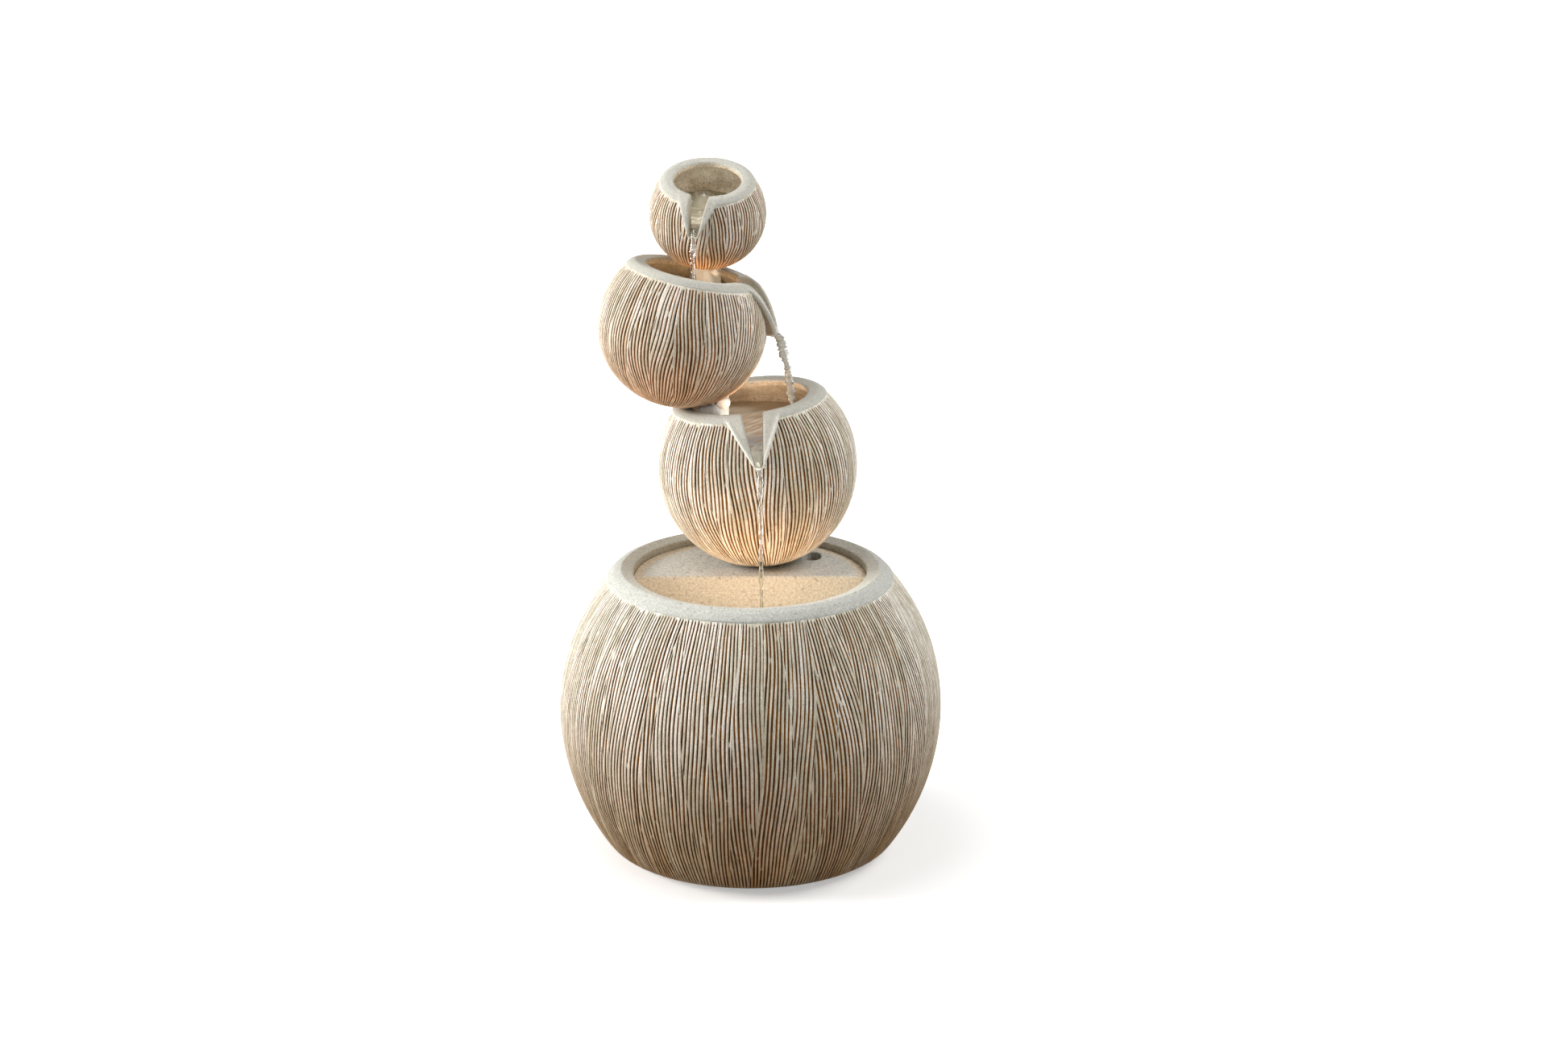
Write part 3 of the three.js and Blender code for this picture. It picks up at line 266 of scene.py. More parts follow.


# Pale dry-brushed ribs and brown grooves by the skin's own attributes, darker and browner low on the ball by a
# bottom tint, which on the upper balls is orange, painted warm glow of the lamps in the bowls below. The streaks
# run along the combing; warm chooses the browns of the upper balls.
def makeCombedStone(look):
    material, tree, shader = newMaterial("combed stone")
    valley, bottomTint, warm = (attributeNode(tree, name) for name in ("valley", "bottomTint", "warm"))
    along = attributeNode(tree, "combing", "Vector")
    streaks = noiseNode(tree, along, look["streaks"], 3.0, 0.6)
    fineStreaks = noiseNode(tree, along, look["fineStreaks"], 2.0, 0.6)
    patches = noiseNode(tree, along, look["patches"], 4.0, 0.6)
    spots = noiseNode(tree, objectPlace(tree), look["spots"], 3.0, 0.65)
    dryBrush = mathNode(tree, "ADD", patches, centred(tree, streaks, 0.9))
    ribs = mixColour(tree, rangeNode(tree, dryBrush, *look["dryBrush"]), look["rib"], look["pale"])
    ribs = mixColour(tree, rangeNode(tree, fineStreaks, 0.56, 0.75, 0.0, look["brownSkin"]), ribs, look["groove"])
    grooves = mixColour(tree, rangeNode(tree, streaks, 0.35, 0.65),
                        mixColour(tree, warm, look["deep"], look["warmDeep"]),
                        mixColour(tree, warm, look["groove"], look["warmGroove"]))
    share = rangeNode(tree, mathNode(tree, "ADD", valley, centred(tree, spots, 0.5)), *look["brownShare"])
    colour = mixColour(tree, share, ribs, grooves)
    # Low on the ball the colour is multiplied by the bottom tint, on the upper balls an orange one that is painted
    # lamp glow.
    bottomTinted = mixColour(tree, 1.0, colour, mixColour(tree, warm, look["bottomTint"], look["paintedWarmGlow"]), "MULTIPLY")
    cloudy = mathNode(tree, "MULTIPLY", bottomTint, rangeNode(tree, patches, 0.3, 0.7, 0.75, 1.0), True)
    colour = mixColour(tree, cloudy, colour, bottomTinted)
    sand = addNode(tree, "Group", {"Colour": colour, "Grain": look["grain"], "Contrast": look["contrast"]},
                   node_tree=sandGroup).outputs
    height = mathNode(tree, "ADD", mathNode(tree, "MULTIPLY", sand["Height"], 0.5), fineStreaks)
    setInputs(tree, shader, {"Base Color": sand["Colour"], "Normal": bumpNode(tree, height, look["relief"], 0.0006),
                             "Roughness": rangeNode(tree, valley, 0.0, 1.0, *look["roughness"]),
                             "Specular IOR Level": 0.12})
    return material


# Smooth cast stone with a sandy grain; edge is its colour where the piece's edge attribute is 1: painted shade on
# the rim's inner slope, painted shade and lamp glow on the deck's back edge.
def makeSandStone(name, colour, contrast, relief=0.5, roughness=0.85, grain=1100.0, edge=None):
    material, tree, shader = newMaterial(name)
    if edge:
        colour = mixColour(tree, attributeNode(tree, "edge"), colour, edge)
    sand = addNode(tree, "Group", {"Colour": colour, "Contrast": contrast, "Grain": grain, "Cloud": 0.14},
                   node_tree=sandGroup).outputs
    rough = rangeNode(tree, sand["Height"], 0.3, 0.7, roughness - 0.06, roughness + 0.06)
    setInputs(tree, shader, {"Base Color": sand["Colour"], "Normal": bumpNode(tree, sand["Height"], relief, 0.0005),
                             "Roughness": rough, "Specular IOR Level": 0.25})
    return material


# Ridge is a painted highlight on the beaks' raised ridges and flank painted shade on their side faces; the inside's
# taupes are wet stone, painted paler than the rim for light the deep inside lacks.
bowlColours = {"rim": rgb(198, 196, 186), "cheek": rgb(197, 194, 183), "paintedFlankShade": rgb(152, 136, 112),
               "ridge": rgb(232, 228, 218), "channel": rgb(184, 176, 158), "wetAndPaintedLight": rgb(224, 210, 188),
               "dark": rgb(196, 178, 154), "grain": 1100.0, "contrast": (0.26, 0.5), "roughness": (0.85, 0.4)}


# The bowls' stone: pale rim, ridges with a painted highlight, greyer cheeks, flanks in painted shade, and a wet
# taupe inside, painted paler than the rim for light the deep inside lacks, with pale and dark grains.
def makeBowlStone(look):
    material, tree, shader = newMaterial("bowl stone")
    colour = look["rim"]
    for key in ("cheek", "paintedFlankShade", "ridge", "channel"):
        colour = mixColour(tree, attributeNode(tree, key), colour, look[key])
    wetAndPaintedLight = attributeNode(tree, "wetAndPaintedLight")
    patches = noiseNode(tree, objectPlace(tree), 90.0, 4.0, 0.65)
    taupe = mixColour(tree, rangeNode(tree, patches, 0.35, 0.65), look["wetAndPaintedLight"], look["dark"])
    sand = addNode(tree, "Group", {
        "Colour": mixColour(tree, wetAndPaintedLight, colour, taupe), "Grain": look["grain"], "Cloud": 0.14,
        "Contrast": rangeNode(tree, wetAndPaintedLight, 0.0, 1.0, *look["contrast"])}, node_tree=sandGroup).outputs
    setInputs(tree, shader, {"Base Color": sand["Colour"], "Normal": bumpNode(tree, sand["Height"], 0.5, 0.0005),
                             "Roughness": rangeNode(tree, wetAndPaintedLight, 0.0, 1.0, *look["roughness"]),
                             "Specular IOR Level": 0.3})
    return material


ribbedStone = makeCombedStone(combedStone)
# The edge colours are painted: shade on the rim inside its crest, and on the deck a warm band of shade and lamp glow
# for a slope down from the rim that the deck lacks.
rimStone = makeSandStone("rim stone", rgb(201, 201, 194), 0.34, grain=800.0, edge=rgb(202, 199, 188))
deckStone = makeSandStone("deck stone", rgb(214, 211, 202), 0.36, 0.7, grain=640.0, edge=rgb(228, 214, 192))
# The lugs' whitish stone is painted near white and a little blue: painted light, as they sit in shade, and a cool
# cast against the lamps' warm glow.
lugStone = makeSandStone("lug stone", rgb(245, 249, 249), 0.2, 0.7)
bowlStone = makeBowlStone(bowlColours)
print("stone made")

# Centre and lean are as in the solids; other heights are from the ball's widest level. Each half-oval has a reach
# and a power, and joint is where the ribs end. Crest and mouth are (radius, height). A beak has a direction in
# degrees, the height of its tip, its reach, half-widths at tip and rim, and a shoulder that bends its ridge. The
# bottom tint (darker low on the ball, and on the upper balls a painted warm glow of the lamps below) is the least,
# the most, and the heights of most and least in radii.
balls = {
    "base": {"centre": (0, 0, 91.9), "lean": (0, 0), "radius": 119.9, "upper": (124.6, 2.06), "lower": (136.2, 1.9),
             "joint": 85.6, "foot": 89.9, "grooves": 285, "depth": 0.85, "strokes": 46, "tilt": 0.065,
             "bands": (0, 0.3, 0.62, 1), "rows": 32, "seed": 5, "bottomTint": (0.02, 1.0, -0.7, 0.62)},
    "lower": {"centre": (4.1, 37, 240.4), "lean": (-6.5, 0.4), "radius": 63, "upper": (63, 2.0), "lower": (66, 2.04),
              "joint": 40.5, "foot": 62, "crest": (43.6, 43.6), "mouth": (36.8, 42.9), "wall": 6, "floor": -10,
              "azimuth": 3.2, "tip": 15, "reach": 68.5, "outerHalf": (4.6, 18), "innerHalf": (2.9, 6.8),
              "shoulder": (55.5, 41.5), "ridge": 1.0, "step": 0.96, "grooves": 154, "depth": 0.9, "strokes": 24,
              "tilt": 0.07, "bands": (0, 0.45, 1), "rows": 40, "seed": 11, "bottomTint": (0.0, 0.2, -0.9, 0.3)},
    "middle": {"centre": (-41.9, 37, 328.9), "lean": (11.3, -3.4), "radius": 52.8, "upper": (52.8, 2.0),
               "lower": (50.9, 2.04), "joint": 32.5, "foot": 49, "crest": (36.6, 36), "mouth": (29.5, 35.5),
               "wall": 5.5, "floor": -6, "azimuth": 85, "tip": 4.8, "reach": 58.6, "outerHalf": (5.2, 19.5),
               "innerHalf": (3.4, 11.5), "shoulder": (47.6, 33.8), "ridge": 0.9, "step": 0.8, "grooves": 138,
               "depth": 0.85, "strokes": 20, "tilt": 0.07, "bands": (0, 0.45, 1), "rows": 36, "seed": 23,
               "bottomTint": (0.1, 0.8, -0.9, 0.2)},
    "top": {"centre": (-26.4, 60, 395.2), "lean": (0.6, 17.5), "radius": 36.7, "upper": (36.7, 2.0),
            "lower": (34.7, 2.04), "joint": 22, "foot": 34, "crest": (25.8, 24.4), "mouth": (21.2, 24.2),
            "wall": 4.5, "floor": -1.5, "azimuth": -11.5, "tip": 4, "reach": 41.4, "outerHalf": (4.2, 13.2),
            "innerHalf": (3, 5.8), "shoulder": (33.5, 23.3), "ridge": 0.2, "step": 0.62, "grooves": 104,
            "depth": 0.7, "strokes": 15, "tilt": 0.08, "bands": (0, 1), "rows": 56, "seed": 31,
            "bottomTint": (0.15, 0.85, -0.9, 0.2)},
}
riserBends = np.array([
    [7, 40.2, 188], [-6, 42, 208], [-18, 44.2, 226], [-21, 45.2, 243], [-21.6, 46.4, 264], [-22.6, 48.6, 285],
    [-24.6, 53.6, 301], [-26.4, 60, 317], [-27.2, 64, 331], [-27.6, 66.6, 347], [-27.8, 68.8, 363],
    [-28.6, 71, 380], [-29.3, 72.7, 395.5], [-29.6, 73.6, 403]], float)
deck = {"radius": 72.55, "top": 177.5, "thick": 7, "skirt": 6, "drop": 54, "shaft": (8, 40, 12),
        "finger": (38.5, 40.5, 5.5, 3.0), "round": 1.4, "low": (-75, -3, 121), "high": (75, 75, 180.5),
        "step": 0.95, "bandRadii": (65.8, 67.0), "bandFront": (0.4, 1.6)}
skin = {"thick": 2.4, "samples": 9, "arcSteps": 1400, "backRows": 4, "footRound": 6.0, "deckGap": 1.8, "crease": 82,
        "bunching": 1.1, "underBeak": 1.3, "smoothFoot": (0.93, 1.0)}
glandSeat = {"height": 58.1, "radii": (8.6, 9.6), "depth": 1.3}  # flat place for the gland in the back wall


# The rows are the ball's right, back and axis directions in the frame.
def ballAxes(ball):
    leanRight, leanFront = np.radians(ball["lean"])
    axis = np.array([np.tan(leanRight), -np.tan(leanFront), 1.0])
    axis /= np.linalg.norm(axis)
    back = np.array([0.0, 1.0, 0.0]) - axis[1] * axis
    back /= np.linalg.norm(back)
    return np.stack([np.cross(back, axis), back, axis])


def toFrame(ball, points):  # from the ball's own directions to the frame's
    return np.asarray(ball["centre"]) + points @ ballAxes(ball)


def toBall(ball, points):  # and back
    return (points - np.asarray(ball["centre"])) @ ballAxes(ball).T


# Radius of a ball of two half-ovals at a height: (1 - |height / reach|^power)^(1 / power) times its own.
def ovalRadius(ball, height, inset=0.0):
    height = np.asarray(height)
    reach, power = (np.where(height > 0, above, below) for above, below in zip(ball["upper"], ball["lower"]))
    share = np.clip(np.abs(height) / (reach - inset), 0, 1)
    return (ball["radius"] - inset) * (1 - share ** power) ** (1 / power)


# How far a quarter circle draws the base's wall in at a height above its flat underside.
def footInset(above):
    low = np.clip(above / skin["footRound"], 0, 1)
    return skin["footRound"] * (1 - np.sqrt(1 - (1 - low) ** 2))


# Half-width of a beak's wedge at a height, from its value at the tip to its value at the rim.
def wedgeHalf(ball, height, halves, low):
    share = (height - low) / (ball["joint"] + 2.5 - low)
    return halves[0] + (halves[1] - halves[0]) * share


combing = {"lines": 1009, "wander": 0.07, "width": (0.165, 0.1), "sharpness": 2.8, "startRun": 1.2,
           "lateStart": 2.0, "faint": 0.6, "shallow": 0.5, "swell": 0.12, "stretch": 0.16}


# Depth of the combing at each point, as overlapping strokes of a comb between leaning lines. A stroke's phase is
# the angle times the number of grooves, sheared by the stroke's lean and bent by two sines. A groove is a narrow
# bell round the middle of each unit of phase, with its own width, depth and start, and ends at the next stroke.
def combed(ball, turn, along, radius, length):
    rng = np.random.default_rng(ball["seed"])
    count, strokes = ball["grooves"], ball["strokes"]
    pitch = 2 * np.pi * ball["radius"] / count
    fromMiddle = along - length / 2
    edges = (np.arange(strokes) + rng.uniform(-0.3, 0.3, strokes)) * 2 * np.pi / strokes
    lean = rng.normal(0, ball["tilt"], strokes)
    bend = rng.uniform(0, 2 * np.pi, (3, strokes))
    stroke = np.zeros(turn.shape, int)
    nearest = np.full(turn.shape, 9.0)
    for i in range(strokes):
        edge = (edges[i] + lean[i] * fromMiddle / ball["radius"]
                + 0.5 / strokes * np.sin(along / length * 6 + bend[0, i]))
        stroke += turn > edge
        nearest = np.minimum(nearest, np.abs((turn - edge + np.pi) % (2 * np.pi) - np.pi) * radius)
    stroke %= strokes
    tilt = rng.normal(0, ball["tilt"], strokes)
    shift = rng.uniform(0, 1, strokes)
    phase = (turn * count / (2 * np.pi) + shift[stroke] + tilt[stroke] * fromMiddle / pitch
             + 0.8 * np.sin(along / length * 4 + bend[1][stroke])
             + 0.2 * np.sin(along / length * 15 + bend[2][stroke]))
    line = np.floor(phase).astype(int)
    own = rng.uniform(0, 1, (7, combing["lines"]))[:, (line * 37 + stroke * 101) % combing["lines"]]
    wander = combing["wander"] * np.sin(along / (11 + 16 * own[0]) + 20 * own[1])
    across = np.abs(phase - line - 0.5 + wander)
    width = combing["width"][0] + combing["width"][1] * own[2] ** 1.3
    bell = np.exp(-(across / width) ** combing["sharpness"])
    starts = smoothStep(0, combing["startRun"], along - 0.5 - combing["lateStart"] * own[3] ** 4)
    breaks = np.sin(along / (9 + 14 * own[4]) + 40 * own[5]) + np.sin(along / 5.3 + 60 * own[6])
    faint = 1 - combing["faint"] * smoothStep(1.88, 1.98, breaks)
    fill = 1 - combing["shallow"] * smoothStep(0.93, 1.0, own[6])
    valley = bell * starts * faint * fill * smoothStep(0.05, 0.45, nearest)
    relief = ball["depth"] * (0.7 + 0.5 * own[1]) * valley
    relief = relief + combing["swell"] * (1 - np.cos(2 * np.pi * np.clip(across, 0, 0.5))) * 0.5 * starts
    grainTurn = phase * 2 * np.pi / count
    grain = np.stack([np.cos(grainTurn) * count / (2 * np.pi), np.sin(grainTurn) * count / (2 * np.pi),
                      along / pitch * combing["stretch"] + stroke * 3.7], -1)
    return relief, valley, grain


# A ball's combed outside as thin closed shells, one for each band of height. Rows run down the oval's arc from
# the rim, or from under the beak's edge, to the foot; a point is the oval moved inwards by the combing, and each
# shell closes through a smooth inner copy that lies the skin's thickness further in.
def combedSkin(name, ball):
    columns, rows = ball["grooves"] * skin["samples"], ball["rows"]
    turn = fullTurn(columns)
    height = np.linspace(ball["joint"], -ball["foot"], skin["arcSteps"])
    radius = ovalRadius(ball, height)
    if name == "base":
        radius = radius - footInset(height + ball["foot"])
    arc = np.concatenate([[0], np.cumsum(np.hypot(np.diff(radius), np.diff(height)))])
    slopeR, slopeH = np.gradient(radius, arc), np.gradient(height, arc)
    top = np.full(columns, float(ball["joint"]))
    if "tip" in ball:
        away = turn - math.radians(ball["azimuth"] - 90)
        side = np.abs(radius[:, None] * np.sin(away[None, :]))
        half = wedgeHalf(ball, height, ball["outerHalf"], ball["tip"] + 2.0)[:, None] - skin["underBeak"]
        inside = (side < half) & (np.cos(away)[None, :] > 0) & (height[:, None] > ball["tip"] + 1.0)
        top = np.where(inside, height[:, None], ball["joint"]).min(0)
    topArc = np.interp(-top, -height, arc)
    least, most, full, none = ball["bottomTint"]

    def shell(bandName, first, last):
        share = np.linspace(first, last, rows)
        share = np.concatenate([share, share[np.linspace(rows - 1, 0, skin["backRows"]).round().astype(int)]])
        along = topArc[None, :] + (share ** skin["bunching"])[:, None] * (arc[-1] - topArc[None, :])
        h, r = np.interp(along, arc, height), np.interp(along, arc, radius)
        outR, outH = -np.interp(along, arc, slopeH), np.interp(along, arc, slopeR)
        angle = turn[None, :] + 0 * along
        relief, valley, grain = combed(ball, angle, along, r, arc[-1])
        fade = (1 - smoothStep(*skin["smoothFoot"], share))[:, None]
        relief = relief * fade
        if name == "base":
            away = np.hypot(r * np.cos(angle), h - glandSeat["height"]) + 2 * r * (np.sin(angle) < 0)
            relief = np.maximum(relief, glandSeat["depth"] * (1 - smoothStep(*glandSeat["radii"], away)))
        isBack = (np.arange(len(share)) >= rows)[:, None]
        inwards = np.where(isBack, skin["thick"], relief)
        r, h2 = r - inwards * outR, h - inwards * outH
        points = toFrame(ball, np.stack([r * np.cos(angle), r * np.sin(angle), h2], -1).reshape(-1, 3))
        if name == "lower":  # cut flat over the deck
            cut = deck["top"] + skin["deckGap"] + skin["thick"] * isBack + 0 * along
            points[:, 2] = np.maximum(points[:, 2], cut.ravel())
        # Share of the bottom tint, most low on the ball; on the upper balls it carries the painted lamp glow.
        level = 1 - smoothStep(full * ball["radius"], none * ball["radius"], h)
        values = {"valley": valley * fade, "bottomTint": least + (most - least) * level,
                  "warm": 0 * level + (name != "base")}
        faces = ringFaces(len(share), columns, closed=True)
        grain = grain.reshape(-1, 3)
        if last == 1:  # the foot closes on a point outside and inside
            quads = faces[0].reshape(len(share), columns, 4)
            outerRing = (rows - 1) * columns + np.arange(columns)
            innerRing = outerRing + columns
            poles = len(points) + np.zeros(columns, int)
            points = np.concatenate([points, [points[outerRing].mean(0)], [points[innerRing].mean(0)]])
            faces = [quads[: rows - 1].reshape(-1, 4), quads[rows:].reshape(-1, 4),
                     np.stack([poles, outerRing, np.roll(outerRing, -1)], -1),
                     np.stack([poles + 1, np.roll(innerRing, -1), innerRing], -1)]
            values = {k: np.append(v.ravel(), [v[rows - 1, 0], 0]) for k, v in values.items()}
            grain = np.concatenate([grain, np.zeros((2, 3))])
        values = {k: v.ravel() for k, v in values.items()}
        values["combing"] = grain
        piece = makePiece(bandName, points, [f[:, ::-1] for f in faces], "base" if name == "base" else "tower",
                          ribbedStone, slotName="ribbed_stone", values=values)
        piece.data.set_sharp_from_angle(angle=math.radians(skin["crease"]))

    bands = ball["bands"]
    for i in range(len(bands) - 1):
        shell(f"{name}_combed_skin_{i + 1}", bands[i], bands[i + 1])


for name, ball in balls.items():
    combedSkin(name, ball)
print("combed skins made")


# Signed distance to a closed outline of points, looked up in a table of radius and height.
def outlineTable(outline, extent, step):
    outline = np.asarray(outline, float)
    u = np.arange(-2, extent[0] + 3, step)
    v = np.arange(extent[1] - 3, extent[2] + 3, step)
    px, py = np.meshgrid(u, v, indexing="ij")
    nearest = np.full(px.shape, 1e9)
    crossings = np.zeros(px.shape, int)
    for (ax, ay), (bx, by) in zip(outline, np.roll(outline, -1, 0)):
        dx, dy = bx - ax, by - ay
        t = np.clip(((px - ax) * dx + (py - ay) * dy) / max(dx * dx + dy * dy, 1e-9), 0, 1)
        nearest = np.minimum(nearest, np.hypot(px - ax - t * dx, py - ay - t * dy))
        if ay != by:
            spans = (ay > py) != (by > py)
            crossings += spans & (px < ax + (py - ay) / (by - ay) * dx)
    return {"u": u, "v": v, "signed": np.where(crossings % 2 == 1, -nearest, nearest), "step": step}


# Value between a table's four nearest entries, weighted by closeness.
def lookUp(table, p, q):
    u = np.clip((p - table["u"][0]) / table["step"], 0, len(table["u"]) - 1.001)
    v = np.clip((q - table["v"][0]) / table["step"], 0, len(table["v"]) - 1.001)
    i, j = u.astype(int), v.astype(int)
    du, dv = u - i, v - j
    s = table["signed"]
    return ((s[i, j] * (1 - du) + s[i + 1, j] * du) * (1 - dv)
            + (s[i, j + 1] * (1 - du) + s[i + 1, j + 1] * du) * dv)


# The lesser of two distances, blended over a width k where they are near each other.
def softMin(a, b, k):
    t = np.clip(0.5 + 0.5 * (b - a) / k, 0, 1)
    return b * (1 - t) + a * t - k * t * (1 - t)


def softMax(a, b, k):
    return -softMin(-a, -b, k)


# Distance to a wedge seen from the front: a circle at the tip widening upwards between two straight sides.
def wedgeField(side, height, halfTip, halfTop, tipHeight, topHeight):
    run, rise = halfTop - halfTip, topHeight - tipHeight - halfTip
    size = math.hypot(run, rise)
    cosine, sine = rise / size, run / size
    up = height - tipHeight - halfTip
    straight = np.abs(side) * cosine - up * sine - halfTip * cosine
    return np.where(np.abs(side) * sine + up * cosine > 0, straight, np.hypot(side, up) - halfTip)


# The surface where a field is zero: one point in each crossed cell of a grid, moved onto the surface by two
# Newton steps, and one face round each crossed grid edge.
def fieldSurface(field, low, high, step):
    axes = [np.arange(a, b + step, step) for a, b in zip(low, high)]
    shape = [len(a) for a in axes]
    grid = np.stack(np.meshgrid(*axes, indexing="ij"), -1)
    value = np.concatenate([field(part.reshape(-1, 3)) for part in np.array_split(grid, 12)]).reshape(shape)
    inside = value < 0
    total = np.zeros([n - 1 for n in shape] + [3])
    crossed = np.zeros([n - 1 for n in shape])
    cells = [slice(0, -1), slice(1, None)]
    for axis in range(3):
        others = [k for k in range(3) if k != axis]
        for first in (0, 1):
            for second in (0, 1):
                start = [None] * 3
                start[others[0]], start[others[1]] = cells[first], cells[second]
                end = list(start)
                start[axis], end[axis] = cells
                f0, f1 = value[tuple(start)], value[tuple(end)]
                hit = (f0 < 0) != (f1 < 0)
                offset = np.zeros(hit.shape + (3,))
                offset[..., axis] = np.where(hit, f0 / np.where(hit, f0 - f1, 1), 0)
                offset[..., others[0]], offset[..., others[1]] = first, second
                total += offset * hit[..., None]
                crossed += hit
    used = crossed > 0
    index = -np.ones(used.shape, int)
    index[used] = np.arange(used.sum())
    points = np.array([a[0] for a in axes]) + (np.argwhere(used) + total[used] / crossed[used][:, None]) * step
    faces = []
    for axis in range(3):
        start, end = [slice(1, -1)] * 3, [slice(1, -1)] * 3
        start[axis], end[axis] = cells
        a, b = inside[tuple(start)], inside[tuple(end)]
        at = np.argwhere(a != b)
        outwards = a[tuple(at.T)]
        at = at + np.array([0 if k == axis else 1 for k in range(3)])
        e1, e2 = np.eye(3, dtype=int)[(axis + 1) % 3], np.eye(3, dtype=int)[(axis + 2) % 3]
        quad = np.stack([index[tuple(corner.T)] for corner in (at - e1 - e2, at - e2, at, at - e1)], -1)
        faces.append(np.where(outwards[:, None], quad, quad[:, ::-1]))
    faces = np.concatenate(faces)
    faces = faces[(faces >= 0).all(1)]
    for _ in range(2):
        here = field(points)
        slope = np.stack([field(points + 0.1 * e) - field(points - 0.1 * e) for e in np.eye(3)], -1) / 0.2
        move = here[:, None] * slope / np.maximum((slope ** 2).sum(-1), 0.25)[:, None]
        points = points - np.clip(move, -0.5 * step, 0.5 * step)
    return points, faces


cast = {"under": 7.0, "inset": 1.9, "soft": 0.9, "joinSoft": 1.2, "beakSoft": 0.8, "seatGap": 0.2, "riserWay": 6.2}


